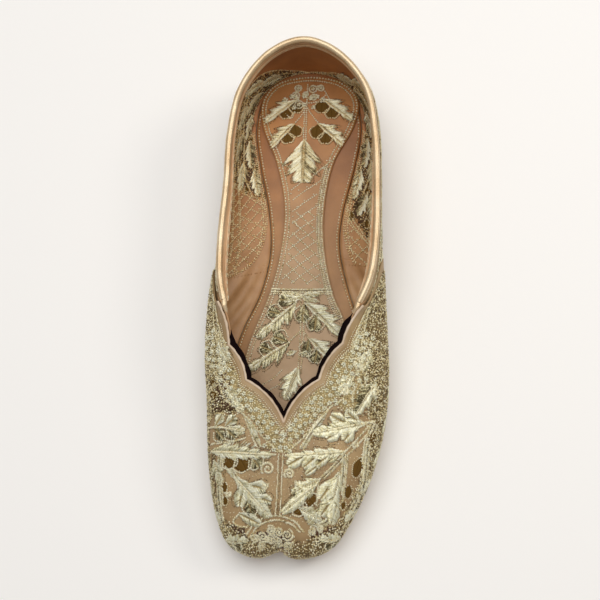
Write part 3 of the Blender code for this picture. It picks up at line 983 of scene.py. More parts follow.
def along_binding(first, last):
    """A cloth on the collar's binding: mm along the edge between two turns, and mm down from it. Also its
    length in mm."""
    turns = np.linspace(first, last, 600)
    run = run_along(skin(turns, 1.0, False)[0]) / MM
    walls = wall_length(turns) / MM

    def cloth(flat):
        turn = np.interp(flat[:, 0], run, turns)
        level = 1 - flat[:, 1] / np.interp(turn, turns, walls)
        lift = -WALL_THICK - ON_BINDING - binding_stand(turn, flat[:, 1])
        points, outs, _ = skin(turn, level, False, lift)
        return points, -outs

    return cloth, run[-1]


# ---------------------------------------------------------------- stitches


def pattern(bm):
    """A stitch's shape as arrays, to be repeated: its corners, its triangles and its stations along X."""
    bmesh.ops.triangulate(bm, faces=bm.faces)
    corners = np.array([vert.co for vert in bm.verts])
    faces = np.array([[vert.index for vert in face.verts] for face in bm.faces])
    bm.free()
    stations, station = np.unique(corners[:, 0].round(4), return_inverse=True)
    return {"corners": corners, "faces": faces, "stations": stations, "station": station.ravel()}


def strand():
    """A laid thread: a three-sided bar along X, with pointed ends that dive into the leather."""
    bm = bmesh.new()
    turned = Matrix.Rotation(math.radians(90), 4, "Y")
    size = {"segments": 3, "radius1": 0.5, "radius2": 0.5, "depth": 0.64}
    bmesh.ops.create_cone(bm, cap_ends=True, cap_tris=True, matrix=turned, **size)
    for vert in bm.verts:
        at_end = abs(vert.co.y) + abs(vert.co.z) < 0.1
        vert.co.z += 0.05 if at_end else 0.42
        if at_end:
            vert.co.x = math.copysign(0.5, vert.co.x)
    bm.verts.index_update()
    return pattern(bm)


def purl():
    """A cut length of coiled wire, as short and round as a bead."""
    bm = bmesh.new()
    bmesh.ops.create_uvsphere(bm, u_segments=4, v_segments=2, radius=0.5)
    for vert in bm.verts:
        vert.co.z += 0.3
    bm.verts.index_update()
    return pattern(bm)


STRAND = strand()
PURL = purl()

# How much stitches roll about their own length, in radians, and how much their tones differ.
SEW_SEED = 3
STRAND_ROLL = 0.2
PURL_ROLL = 0.42
TONE_SPREAD = 0.09


def stitches(start, end, width=0.45, height=0.5, lift=0.0, tone=0.6):
    """Rows of stitches in mm on a cloth: start, end, width, height, lift, tone."""
    start, end = np.atleast_2d(start), np.atleast_2d(end)
    rest = [np.broadcast_to(value, len(start)) for value in (width, height, lift, tone)]
    return np.column_stack([start, end, *rest])


def sew(name, cloth, rows, shape, material, slot):
    """Lays one copy of a stitch's shape on a cloth for every row, bent to the surface, as a single piece."""
    rows = np.concatenate(rows)
    start, way = rows[:, 0:2], rows[:, 2:4] - rows[:, 0:2]
    laid = [cloth(start + way * (station + 0.5)) for station in shape["stations"]]
    points = np.stack([point for point, _ in laid])
    outs = np.stack([out for _, out in laid])
    good = np.isfinite(points).all(axis=(0, 2))
    rows, points, outs = rows[good], points[:, good], outs[:, good]
    rng = np.random.default_rng(SEW_SEED)
    width, height, lift, tone = rows[:, 4:8].T * np.array([[MM], [MM], [MM], [1]])
    ahead = unit(points[-1] - points[0])
    middle = outs[len(outs) // 2]
    aside = unit(np.cross(middle, ahead))
    roll = rng.normal(0, PURL_ROLL if shape is PURL else STRAND_ROLL, len(rows))[:, None]
    turned = aside * np.cos(roll) + middle * np.sin(roll)
    aside, middle = turned, middle * np.cos(roll) - aside * np.sin(roll)
    corners = shape["corners"]
    made = points[shape["station"]] + outs[shape["station"]] * lift[None, :, None]
    made = made + aside[None] * (corners[:, 1, None] * width)[:, :, None]
    made = made + middle[None] * (corners[:, 2, None] * height)[:, :, None]
    made = made.transpose(1, 0, 2).reshape(-1, 3)
    count, size = len(rows), len(corners)
    faces = (shape["faces"][None] + np.arange(count)[:, None, None] * size).reshape(-1)
    mesh = bpy.data.meshes.new(name)
    mesh.vertices.add(len(made))
    mesh.vertices.foreach_set("co", made.ravel())
    mesh.loops.add(len(faces))
    mesh.loops.foreach_set("vertex_index", faces)
    mesh.polygons.add(len(faces) // 3)
    mesh.polygons.foreach_set("loop_start", np.arange(0, len(faces), 3))
    mesh.update(calc_edges=True)
    length = np.linalg.norm(way[good], axis=1)
    along = (corners[:, 0] + 0.5)[None] * length[:, None]
    around = np.tile(np.arctan2(corners[:, 2] - 0.3, corners[:, 1]) / (2 * math.pi) + 0.5, (count, 1))
    spun = np.stack([along, around], axis=2).reshape(-1, 2)
    mesh.uv_layers.new(name="UVMap").data.foreach_set("uv", spun[faces].ravel())
    tones = np.repeat(np.clip(tone + rng.normal(0, TONE_SPREAD, count), 0, 1), size)
    mesh.attributes.new("tone", "FLOAT", "POINT").data.foreach_set("value", tones)
    mesh.shade_smooth()
    mesh.materials.append(material)
    piece = set_out(name, mesh)
    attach(piece, "root")


# ---------------------------------------------------------------- rows and motifs, in mm


def curve(points, step):
    """Places every step along the smooth curve through points, with the ways ahead and to the left."""
    points = np.array(points, float)
    keys = run_along(points)
    dense = np.linspace(0, keys[-1], max(int(keys[-1] / 0.2), 8))
    line = smooth([(key, *point) for key, point in zip(keys, points)], dense)
    run = run_along(line)
    at = np.linspace(0, run[-1], max(int(round(run[-1] / step)), 1) + 1)
    places = np.column_stack([np.interp(at, run, line[:, k]) for k in range(2)])
    ahead = unit(np.gradient(places, axis=0))
    return places, ahead, np.column_stack([-ahead[:, 1], ahead[:, 0]])


def running_row(points, pitch=1.1, length=0.75, width=0.4, tone=0.6, height=0.45):
    """Short stitches end to end with a gap between them."""
    places, ahead, left = curve(points, pitch)
    rng = np.random.default_rng(len(places) + int(length * 100))
    places = places + left * rng.normal(0, 0.05, (len(places), 1))
    half = ahead * length / 2 + left * rng.normal(0, 0.09, (len(places), 1))
    shade = tone + rng.normal(0, 0.16, len(places))
    return stitches(places - half, places + half, width, height, lift=0.0, tone=shade)


def rope_row(points, width=1.1, pitch=0.95, thread=0.6, tone=0.7, lean=0.8, height=0.7):
    """A couched cord: slanted stitches side by side across its line, some of which catch the light."""
    places, ahead, left = curve(points, pitch)
    rng = np.random.default_rng(len(places) + int(width * 100))
    half = (left + ahead * lean) * width / 2 * rng.uniform(0.78, 1.12, (len(places), 1))
    shade = tone + rng.normal(0, 0.2, len(places))
    return stitches(places - half, places + half, thread, height, lift=0.0, tone=shade)


def chain_row(points, width=1.7, pitch=1.15, thread=0.6, tone=0.7, height=0.7):
    """Chain stitch: pairs of stitches that meet in a V."""
    places, ahead, left = curve(points, pitch)
    rng = np.random.default_rng(len(places) + int(width * 100))
    tips = places + ahead * pitch * 0.6
    rows = []
    for side in (-1, 1):
        shade = tone + rng.normal(0, 0.16, len(places))
        rows.append(stitches(places + left * side * width / 2, tips, thread, height, lift=0.0, tone=shade))
    return np.concatenate(rows)


def beads(places):
    """Single round beads of wire, all lying the same way."""
    half = np.array([0.5, 0])
    return stitches(places - half, places + half, width=0.9, height=0.8, lift=0.0, tone=1.0)


def dotted(points):
    """A row of plump short stitches, each a little askew."""
    return rope_row(points, width=1.0, pitch=1.0, thread=0.8, tone=0.78, lean=1.6, height=0.5)


def fine(points, tone=1.0):
    """A thin row of bright short stitches."""
    return running_row(points, pitch=1.2, length=1.05, width=0.95, tone=tone, height=0.4)


def bold(points):
    """A heavy cord: two rows of slanted stitches that lean against each other."""
    places, _, left = curve(points, 2.0)
    rows = []
    for side in (1, -1):
        line = places + left * side * 0.62
        rows.append(rope_row(line, width=1.25, pitch=0.7, thread=0.66, tone=0.9, lean=0.8 * side))
    # A row of near-black stitches down the middle paints the shade between the two rows.
    rows.append(running_row(places, pitch=0.9, length=0.7, width=0.4, tone=0.0, height=0.9))
    return np.concatenate(rows)


def stem(points):
    """The vine's stem: two beaded rows of short wide stitches, with a row of near-black stitches between
    them as painted shade in the narrow gap.
    """
    places, _, left = curve(points, 2.0)
    rows = []
    for side in (1, -1):
        line = places + left * side * 0.95
        rows.append(running_row(line, pitch=1.0, length=1.35, width=0.62, tone=1.0, height=0.9))
    rows.append(running_row(places, pitch=0.9, length=0.6, width=0.3, tone=0.0, height=0.9))
    return np.concatenate(rows)


ROWS = {"rope": rope_row, "dots": dotted, "fine": fine, "bold": bold, "stem": stem}


def fringe(points, reach, sides=(1, -1), tone=0.8, pitch=0.6, slant=0.9):
    """Slanted threads down the sides of a line, longest half way, like the barbs of a feather."""
    places, ahead, left = curve(points, pitch)
    rng = np.random.default_rng(len(places) + int(reach * 100))
    rise = np.clip(np.sin(math.pi * np.linspace(0, 1, len(places))), 0.1, 1) ** 0.6
    rows = []
    for side in sides:
        length = reach * rise * rng.uniform(0.65, 1.1, len(places))
        end = places + (left * side + ahead * slant) * length[:, None] * 0.75
        shade = tone + rng.normal(0, 0.2, len(places))
        rows.append(stitches(places, end, width=0.5, height=0.5, lift=0.03, tone=shade))
    return np.concatenate(rows)


def ways(angles):
    return np.column_stack([np.cos(angles), np.sin(angles)])


def closed_ring(centre, radius, count=14):
    angles = np.linspace(0, 2 * math.pi, count + 1)
    return np.array(centre) + radius * ways(angles)


def leaf_frame(base, tip):
    """The midrib of a leaf, as a function of its share from base to tip, with its ways ahead and left."""
    base, chord = np.array(base, float), np.subtract(tip, base).astype(float)

    def midrib(share):
        return base + chord * np.asarray(share)[:, None]

    return midrib, unit(chord), unit(np.array([-chord[1], chord[0]]))


# How deep the notches between lobes are, how far apart satin threads lie in mm, and how satin and the edges
# of foil lean forward, as a share of how far they reach out.
LOBE_DEPTH = 0.45
SATIN_PITCH = 0.5
SATIN_SLANT = 0.9
FOIL_SLANT = 0.3


def lobed(share, lobes):
    """Half width of a leaf as a share of its widest: round lobes with narrow notches between them."""
    share = np.clip(share, 0, 1)
    if lobes < 2:
        return ease(share, -0.12, 0.42) * (1 - share) ** 0.45 * 1.2
    body = ease(share, -0.1, 0.24) * (1 - share) ** 0.5 * 1.15
    phase = (share * (lobes + 0.1) + 0.04) % 1
    rise = np.clip(phase / 0.62, 0, 1) ** 0.6 * (1 - ease(phase, 0.72, 1.0))
    return body * (1 - LOBE_DEPTH + LOBE_DEPTH * rise)


def satin_half(base, tip, half, side, lobes, tone, jag):
    """One half of a leaf in satin stitch: threads side by side from the midrib out and forward to an edge
    that jag makes uneven."""
    midrib, ahead, left = leaf_frame(base, tip)
    length = np.linalg.norm(np.subtract(tip, base))
    share = np.linspace(0.02, 0.97, max(int(length / SATIN_PITCH), 4))
    rng = np.random.default_rng(int(abs(base[0] * 37 + base[1] * 11 + side * 5)))
    reach = half * lobed(share, lobes) * rng.uniform(1 - jag, 1 + jag * 0.6, len(share))
    start = midrib(share) + (left * side * 0.12)
    end = start + (left * side + ahead * SATIN_SLANT) * reach[:, None] * 0.85
    # Lighter at the middle of each lobe and darker at the notches: painted sheen.
    sheen = 0.1 * np.sin(share * (lobes + 0.15) * 2 * math.pi)
    shade = tone + sheen + rng.normal(0, 0.22, len(share))
    height = 0.45 + 0.3 * rng.random(len(share))
    return stitches(start, end, SATIN_PITCH * 1.1, height, lift=0.05, tone=shade)


def leaf_edge(base, tip, half, side, lobes, count=48, beyond=0.0, slant=FOIL_SLANT):
    """Places along the edge of one half of a leaf, from its base to its tip."""
    midrib, ahead, left = leaf_frame(base, tip)
    share = np.linspace(0, 1, count)
    reach = (half * lobed(share, lobes) + beyond)[:, None]
    return midrib(share * 0.96) + (left * side + ahead * slant) * reach


def foil_half(bm_all, cloth, base, tip, half, side, lobes, bulge=0.22, slant=FOIL_SLANT):
    """One half of a leaf in smooth foil, swollen a little between the midrib and the edge. One that runs off
    its cloth is left out."""
    midrib, _, _ = leaf_frame(base, tip)
    count = 7 + 7 * max(lobes, 1)
    rim = leaf_edge(base, tip, half, side, lobes, count, slant=slant)
    rib_line = midrib(np.linspace(0.0, 0.98, count))

    def place(u, v):
        i = np.rint(u * (count - 1)).astype(int)
        flat = rib_line[i] * (1 - v[:, None]) + rim[i] * v[:, None]
        points, outs = cloth(flat)
        lift = 0.10 + bulge * np.cos(math.pi / 2 * np.clip(v, 0, 1)) * np.sin(math.pi * u)
        return points + outs * (lift * MM)[:, None], outs

    patch = sheet(count - 1, 4, place)
    if all(math.isfinite(c) for vert in patch.verts for c in vert.co):
        join(bm_all, patch)


def inside(polygon, points):
    """Which points lie in a closed outline."""
    polygon = np.array(polygon, float)
    x, y = points[:, 0:1], points[:, 1:2]
    ax, ay = polygon[:, 0], polygon[:, 1]
    bx, by = np.roll(ax, -1), np.roll(ay, -1)
    crosses = (ay > y) != (by > y)
    with np.errstate(divide="ignore", invalid="ignore"):
        at = ax + (y - ay) / (by - ay) * (bx - ax)
    return (crosses & (x < at)).sum(axis=1) % 2 == 1


def scatter(polygon, spacing, seed):
    """Places in an outline, no two closer than spacing, at random but the same each run."""
    rng = np.random.default_rng(seed)
    polygon = np.array(polygon, float)
    low, high = polygon.min(axis=0), polygon.max(axis=0)
    tries = rng.uniform(low, high, (int(np.prod((high - low) / spacing) * 14), 2))
    tries = tries[inside(polygon, tries)]
    cells, kept = {}, []
    for place in tries:
        cell = tuple((place / spacing).astype(int))
        near = [cells.get((cell[0] + i, cell[1] + j)) for i in (-1, 0, 1) for j in (-1, 0, 1)]
        if all(other is None or np.hypot(*(place - other)) >= spacing for other in near):
            cells[cell] = place
            kept.append(place)
    return np.array(kept)


def soft_waves(places, seed, shortest=3.0, longest=9.0, count=9):
    """A smooth uneven value from -1 to 1 over an area, for tones that drift as hand-laid metal does."""
    rng = np.random.default_rng(seed)
    total = np.zeros(len(places))
    for _ in range(count):
        angle, wave = rng.uniform(0, 2 * math.pi), rng.uniform(shortest, longest)
        way = np.array([math.cos(angle), math.sin(angle)]) * 2 * math.pi / wave
        total += np.sin(places @ way + rng.uniform(0, 2 * math.pi))
    return np.clip(total / math.sqrt(count), -1, 1)


def purl_field(polygon, spacing, seed, size=1.1, low=0.2, high=1.0, bright=0.4):
    """Chips of coiled wire thrown over an area, each its own way round. Their tone drifts in patches between
    low and high, and bright raises the tone of a share of them as painted highlights on chips that catch the
    light."""
    places = scatter(polygon, spacing, seed)
    rng = np.random.default_rng(seed + 1)
    angle = rng.uniform(0, math.pi, len(places))
    length = size * rng.uniform(0.8, 1.35, len(places))
    half = ways(angle) * length[:, None] / 2
    drift = soft_waves(places, seed, 2.2, 6.0) * 0.26 + bright
    tone = low + (high - low) * np.clip(drift + rng.normal(0, 0.3, len(places)), 0, 1)
    return stitches(places - half, places + half, size * 0.62, size * 0.66, lift=0.0, tone=tone)


def coil(centre, radius, turns=2.2, count=26, start=0.0):
    """Places along a spiral, from its middle out."""
    angles = (start + np.linspace(0, turns, count)) * 2 * math.pi
    reach = radius * (0.12 + 0.88 * np.linspace(0, 1, count))
    return np.array(centre) + reach[:, None] * ways(angles)


def outside(polygons, rows):
    """The stitches whose middles lie in none of the outlines."""
    middles = (rows[:, 0:2] + rows[:, 2:4]) / 2
    for polygon in polygons:
        within = inside(polygon, middles)
        rows, middles = rows[~within], middles[~within]
    return rows


def clipped(polygon, rows):
    """The stitches that lie in an outline at both ends."""
    return rows[inside(polygon, rows[:, 0:2]) & inside(polygon, rows[:, 2:4])]


def rosettes(places, radius, seed, tone=0.92):
    """Small flowers: five plump stitches out from the middle of each."""
    rng = np.random.default_rng(seed)
    first = rng.uniform(0, math.pi, len(places))
    rows = []
    for k in range(5):
        angle = first + k * math.pi * 0.4
        ray = ways(angle) * radius
        shade = tone + rng.normal(0, 0.16, len(places))
        start = places + ray * 0.1
        rows.append(stitches(start, places + ray, radius * 0.85, height=0.95, lift=0.1, tone=shade))
    return np.concatenate(rows)


def ground_patch(bm_all, cloth, corners, cell=2.0, lift=0.1):
    """A layer of underlay thread over an area, which the bright stitches then stand on."""
    corners = np.array(corners, float)
    low, high = corners.min(axis=0), corners.max(axis=0)
    count = np.maximum(np.ceil((high - low) / cell).astype(int), 2)
    keep_points = {}

    def place(u, v):
        flat = low + (high - low) * np.column_stack([u, v])
        points, outs = cloth(flat)
        keep_points["in"] = inside(corners, flat) & np.isfinite(points).all(axis=1)
        points = np.where(np.isfinite(points), points, 0)
        return points + outs * lift * MM, outs

    patch = sheet(int(count[0]), int(count[1]), place)
    patch.verts.ensure_lookup_table()
    strays = [vert for vert, within in zip(patch.verts, keep_points["in"]) if not within]
    bmesh.ops.delete(patch, geom=strays, context="VERTS")
    join(bm_all, patch)


def join(bm_all, patch):
    """Adds one patch of a sheet to the others."""
    mesh = baked("patch", patch)
    bm_all.from_mesh(mesh)
    bpy.data.meshes.remove(mesh)


def satin_ground(bm_all, cloth, base, tip, half, side, lobes):
    """The underlay of one satin half."""
    foil_half(bm_all, cloth, base, tip, half * 0.74, side, lobes, bulge=0.1, slant=SATIN_SLANT)


def beside_throat(turn, gap):
    """Plan places in mm at a gap in mm outside the vamp's scalloped edge."""
    turn = np.atleast_1d(np.asarray(turn, float)) % 2
    edge = throat_place(turn)[:, :2] / MM
    return edge + away_from_opening(turn)[:, :2] * np.reshape(gap, (-1, 1))


def throat_band(start, end, near, far, count=40):
    """An outline in plan that follows the throat from one turn to another, between two gaps."""
    turn = np.linspace(start, end, count)
    return np.vstack([beside_throat(turn, near), beside_throat(turn[::-1], far)])


FOIL_THICK = 0.14 * MM

# How light each finish of thread is, and the finishes of a petal's two halves.
TONES = {"bright": 0.93, "silver": 0.74, "gold": 0.5, "dark": 0.14}
TINTS = {
    "bright": {1: "bright", -1: "silver"},
    "silver": {1: "silver", -1: "gold"},
    "gold": {1: "gold", -1: "dark"},
    "dark": {1: "dark", -1: "dark"},
}


def empty_bmesh():
    bm = bmesh.new()
    bm.loops.layers.uv.new("UVMap")
    return bm


def new_work():
    """What a piece of work gathers: rows of stitches, sheets of underlay and foil, and ground taken up."""
    rows = {kind: [] for kind in ("silver", "gold", "chips", "taken")}
    return {**rows, **{kind: empty_bmesh() for kind in ("foil", "ground", "dark")}}


def finish_work(name, cloth, work, satin=None, thread=None, under=None):
    """Sews everything that a piece of work has gathered, as a few joined meshes."""
    satin, thread, under = satin or silver_thread, thread or gold_thread, under or underlay
    for part, shape, material, slot in (
        ("silver", STRAND, satin, "silver_thread"),
        ("gold", STRAND, thread, "gold_thread"),
        ("chips", PURL, thread, "gold_thread"),
    ):
        if work[part]:
            sew(f"{name}_{part}", cloth, work[part], shape, material, slot)
    # The dark underlay paints the shade between the stitches.
    for part, material, slot in (
        ("ground", under, "gold_thread"),
        ("dark", gap_shade_underlay, "gold_thread"),
        ("foil", bronze_foil, "bronze_foil"),
    ):
        if len(work[part].verts):
            keep(f"{name}_{part}", work[part], material, slot, thick=FOIL_THICK)
        else:
            work[part].free()


def half_leaf(work, cloth, base, tip, half, side, kind, lobes=1, jag=0.2):
    """Half of a leaf or petal: satin over an underlay, or smooth foil edged with a row of short stitches."""
    if kind == "foil":
        foil_half(work["foil"], cloth, base, tip, half * 0.8, side, lobes)
        edge = leaf_edge(base, tip, half * 0.8, side, lobes, beyond=0.9)
        work["gold"].append(running_row(edge, pitch=1.05, length=0.85, width=0.62, tone=0.92, height=0.6))
    else:
        satin_ground(work["ground"], cloth, base, tip, half, side, lobes)
        # Near-black stitches just outside the satin's edge paint the shadow round it.
        rim = leaf_edge(base, tip, half * 0.85, side, lobes, beyond=0.75, slant=SATIN_SLANT)
        work["gold"].append(running_row(rim[4:], pitch=0.95, length=0.7, width=0.5, tone=0.02, height=0.4))
        work["silver"].append(satin_half(base, tip, half, side, lobes, TONES[kind], jag))


def cover(work, base, tip, half, slant=FOIL_SLANT):
    """Notes the ground that a leaf takes up, so that chips and cords stay off it."""
    left, right = (leaf_edge(base, tip, half, side, 1, slant=slant) for side in (1, -1))
    work["taken"].append(np.vstack([left, right[::-1]]))


def leaf(work, cloth, base, tip, half, left, right, lobes=3):
    """A leaf split along its midrib, with a finish for the half to the left of its way and for the right.
    A half in foil has fewer, rounder lobes than one in satin."""
    for side, kind in ((1, left), (-1, right)):
        half_leaf(work, cloth, base, tip, half, side, kind, max(lobes - (kind == "foil"), 1))
    work["gold"].append(rope_row([base, tip], 0.8 + half * 0.07, pitch=0.85, thread=0.6, tone=0.92))
    cover(work, base, tip, half * 0.8, SATIN_SLANT)


def petal(work, cloth, foot, end, width, kind, outlined):
    """One lobe of an oak leaf, in satin or as foil, with a dotted outline where it is dark."""
    for part in (1, -1):
        if kind == "foil":
            foil_half(work["foil"], cloth, foot, end, width, part, 1)
        else:
            half_leaf(work, cloth, foot, end, width, part, TINTS[kind][part], jag=0.08)
        if outlined:
            rim = leaf_edge(foot, end, width, part, 1, beyond=0.7)
            edging = running_row(rim[4:], pitch=0.95, length=1.0, width=0.95, tone=1.05, height=0.75)
            work["gold"].append(edging)
    cover(work, foot, end, width)


def oak(work, cloth, base, tip, half, left, right, lobes=2):
    """An oak leaf. A bright side is one satin half with a jagged edge, and a dark side is separate round
    lobes with dotted outlines, beside the narrow bright middle that tapers to the tip."""
    midrib, ahead, aside = leaf_frame(base, tip)
    gap = np.linalg.norm(np.subtract(tip, base)) * 0.66 / lobes
    for side, kind in ((1, left), (-1, right)):
        if kind not in ("foil", "dark"):
            half_leaf(work, cloth, base, tip, half * 1.05, side, kind, lobes + 1)
            rim = leaf_edge(base, tip, half * 0.85, side, 1, slant=SATIN_SLANT)
            work["taken"].append(np.vstack([rim, [base]]))
            continue
        for k in range(lobes):
            foot = midrib([0.02 + 0.66 * k / lobes])[0] + aside * side * 0.4
            reach = half * (1 - 0.14 * k) * 1.12
            outer = foot + (aside * side * 0.85 + ahead * 0.60) * reach
            petal(work, cloth, foot, outer, min(reach * 0.55, gap * 0.55), kind, True)
        half_leaf(work, cloth, base, tip, half * 0.22, side, "bright")
        petal(work, cloth, midrib([0.56])[0], midrib([1.0])[0], half * 0.34, "bright", False)
    work["gold"].append(rope_row([base, midrib([0.92])[0]], width=1.1, pitch=0.7, thread=0.55, tone=0.85))


def drop(work, cloth, base, tip, half):
    """A small oval of foil with a corded edge."""
    for side in (1, -1):
        foil_half(work["foil"], cloth, base, tip, half, side, 1)
        rim = leaf_edge(base, tip, half, side, 1, beyond=0.5)
        work["gold"].append(rope_row(rim, width=0.8, pitch=0.9, thread=0.5, tone=0.75))
    cover(work, base, tip, half)


VAMP_LOBES = (
    # foot across, along, end across, along, half width, finish: the round lobes of the large leaves
    (-22.0, -92.5, -23.8, -103.0, 4.6, "bright"),
    (-20.0, -93.5, -11.6, -95.2, 4.4, "bright"),
    (-16.8, -98.5, -9.0, -101.0, 3.7, "bright"),
    (-19.6, -99.5, -18.0, -107.0, 3.3, "dark"),
    (-17.4, -100.0, -9.6, -107.6, 3.7, "bright"),
    (-24.5, -106.0, -14.0, -111.0, 3.6, "bright"),
    (-24.5, -80.2, -20.6, -87.2, 4.4, "foil"),
    (-30.5, -80.0, -27.0, -85.6, 3.6, "foil"),
    (-18.4, -80.6, -14.4, -85.6, 3.6, "dark"),
    (7.0, -79.6, -1.2, -84.8, 4.2, "bright"),
    (12.6, -79.4, 6.0, -85.4, 3.7, "bright"),
    (18.0, -79.0, 11.6, -84.4, 3.2, "silver"),
    (12.6, -84.2, 7.0, -88.6, 2.3, "bright"),
    (22.0, -78.6, 17.4, -82.2, 2.4, "silver"),
    (9.0, -96.4, -4.0, -106.0, 3.7, "bright"),
    (6.6, -97.6, 10.6, -101.8, 3.6, "foil"),
    (1.8, -101.4, 6.0, -106.0, 3.3, "foil"),
    (21.2, -89.0, 13.6, -99.4, 5.0, "bright"),
    (20.4, -97.0, 14.0, -106.4, 4.5, "bright"),
    (21.4, -100.0, 18.4, -110.0, 3.6, "bright"),
    (13.0, -103.5, 8.6, -109.5, 2.6, "silver"),
    (31.5, -64.6, 25.4, -59.6, 3.8, "bright"),
    (27.0, -65.6, 18.4, -61.6, 4.1, "bright"),
    (29.0, -66.0, 24.4, -72.6, 4.1, "bright"),
    (24.0, -67.0, 16.6, -72.2, 4.1, "bright"),
    (21.0, -67.6, 10.4, -69.8, 3.8, "bright"),
    (-36.0, -66.4, -33.0, -61.6, 3.3, "bright"),
    (-31.0, -66.8, -26.4, -62.6, 3.6, "bright"),
    (-36.0, -67.4, -31.5, -72.4, 3.3, "dark"),
    (-31.0, -67.8, -26.0, -72.2, 3.1, "dark"),
    (-29.5, -67.6, -21.8, -69.4, 3.1, "bright"),
)

VAMP_MIDRIBS = (
    # places across and along: the corded ribs of the large leaves
    ((-26.5, -90.0), (-19.0, -97.5), (-10.0, -107.0)),
    ((-38.0, -78.2), (-22.0, -79.2), (-7.0, -80.0)),
    ((25.0, -77.4), (12.0, -79.0), (-2.5, -80.2)),
    ((12.0, -93.0), (4.0, -98.5), (-4.0, -105.0)),
    ((38.0, -62.8), (28.0, -65.6), (13.0, -69.2)),
    ((-41.0, -66.6), (-32.0, -67.4), (-22.5, -69.2)),
)

VAMP_LEAVES = (
    # base across, along, tip across, along, half width, left half, right half, lobes
    (34, -64.2, 10.0, -70.2, 5.0, "bright", "silver", 3),
    (-26, -90.0, -9.6, -107.2, 5.2, "bright", "silver", 3),
    (22, -86.5, 17.6, -110.0, 4.4, "bright", "silver", 3),
    (24.5, -78.0, -2, -80.6, 3.6, "silver", "bright", 4),
    (-38, -77.6, -8.5, -80.4, 5.2, "silver", "bright", 5),
    (13.6, -90.6, 0.5, -97.0, 4.6, "gold", "silver", 3),
    (12, -92.5, -3.4, -105.8, 4.0, "silver", "gold", 3),
    (38.5, -44, 29.5, -60.5, 5.6, "bright", "dark", 3),
    (4, -103.5, 14, -108.5, 4.4, "silver", "bright", 2),
    (-36.5, -82, -33, -93, 4.0, "silver", "gold", 2),
    (36, -30, 32, -40, 4.5, "silver", "bright", 2),
    (-35, -26, -30, -37, 4.5, "silver", "bright", 2),
    (27, -42, 22, -52, 3.6, "bright", "silver", 2),
    (-30, -48, -25, -58, 3.8, "silver", "bright", 2),
)

VAMP_FRINGES = (
    # reach, sides, places across and along
    (3.0, (-1,), (25, -77.4), (13, -78.6), (-1, -79.6)),
    (4.0, (1,), (-37, -77), (-24, -76.5), (-10, -79)),
    (2.0, (1, -1), (-33.5, -80.5), (-29.5, -86), (-25.5, -91)),
    (2.6, (1, -1), (38, -68), (34, -78), (33, -90)),
    (1.6, (-1,), (24.5, -80), (23.5, -92), (20, -107)),
    (2.4, (1,), (-34, -80), (-34.5, -94), (-33, -108)),
    (2.2, (1, -1), (-21, -61), (-17.5, -69), (-14, -76)),
    (2.2, (1, -1), (5, -77), (9.5, -70), (16, -61)),
    (2.6, (1, -1), (8, -110.5), (14, -110.5), (21, -106)),
)

VAMP_DROPS = (
    # base across, along, tip across, along, half width
    (32, -80, 29, -89, 2.1),
    (26.8, -92.5, 25.6, -98.5, 1.5),
    (24.4, -99.8, 23.2, -103.5, 1.1),
    (37.6, -67, 36.5, -75, 1.9),
    (-37.5, -42, -38.5, -47.5, 2.0),
    (-37.5, -49, -38, -54.5, 2.0),
    (-31, -92, -31.3, -97, 1.3),
    (-31, -98.5, -30.6, -102.5, 1.2),
)

VAMP_CORDS = (
    # kind, places across and along
    ("stem", (-4.5, -80), (-5.0, -95), (-5.8, -106.5)),
    ("bold", (24.4, -79), (23.6, -90), (22.2, -99.5), (19.8, -107.5)),
    ("dots", (26.0, -80), (25.0, -90), (23.6, -99.5), (21.4, -107.5)),
    ("dots", (19.5, -80.5), (15, -84), (10.6, -87)),
    ("bold", (24.5, -79.2), (18.5, -86), (12.5, -92.0)),
    ("dots", (12.8, -92.5), (12.4, -97), (12.0, -102)),
    ("dots", (-20.5, -115.5), (-17, -111), (-12, -108.3), (-5.7, -107.3), (1.5, -109.3), (5.8, -113.8)),
    ("dots", (-18.8, -116.5), (-15.5, -112.2), (-11, -110), (-5.7, -109.1), (0.5, -110.9), (4, -114)),
    ("bold", (-33.6, -80), (-34, -90), (-33.8, -100), (-32.5, -109)),
    ("dots", (-32, -82), (-32.3, -92), (-32, -102)),
    ("dots", (-33.5, -80.5), (-29.5, -86), (-25.5, -91)),
    ("dots", (-31.8, -80.5), (-28, -85.5), (-24.3, -90)),
    ("dots", (37, -63), (33.6, -73), (32.8, -82), (32, -89), (30, -97), (25.5, -105)),
    ("bold", (38.6, -64), (35.4, -73), (34.4, -82), (33.4, -90), (31.2, -98.5), (26.8, -106.5)),
    ("dots", (31, -64.5), (34.5, -63.5), (38, -62.5)),
    ("dots", (24.5, -78), (30, -72), (36, -64.5)),
    ("dots", (26, -79), (31, -73.5), (34, -70)),
    ("dots", (29, -48), (28, -55), (31, -62), (36, -66)),
    ("dots", (-20.5, -62), (-17, -70), (-14.0, -76)),
    ("dots", (-22.2, -62), (-18.8, -70), (-15.6, -77)),
    ("dots", (-38, -74.5), (-28, -74), (-21.5, -72.5)),
    ("dots", (4.5, -76.5), (7, -72.5), (9.5, -68.5), (13.5, -63.5), (17, -59.5)),
    ("dots", (6, -77.2), (8.6, -73.2), (11, -69.6)),
    ("dots", (-24, -106.5), (-27, -110), (-22, -112.5), (-18, -111)),
    ("dots", (8, -109.5), (13, -110.5), (17.5, -107.5)),
)

VAMP_RINGS = (
    # across, along, radius, turns of the spiral
    (-10.4, -86.4, 3.3, 1.6),
    (-0.4, -88.6, 2.5, 1.6),
    (-24.5, -59.0, 2.2, 1.3),
    (-12.0, -94.0, 1.8, 1.1),
    (3.0, -92.5, 1.6, 1.1),
    (24.0, -50.0, 2.6, 1.4),
    (29.5, -37.0, 2.4, 1.4),
    (37.5, -49.0, 2.2, 1.3),
    (-33.0, -40.0, 2.4, 1.3),
    (29.0, -74.0, 1.8, 1.1),
    (-29.5, -97.5, 1.6, 1.1),
)

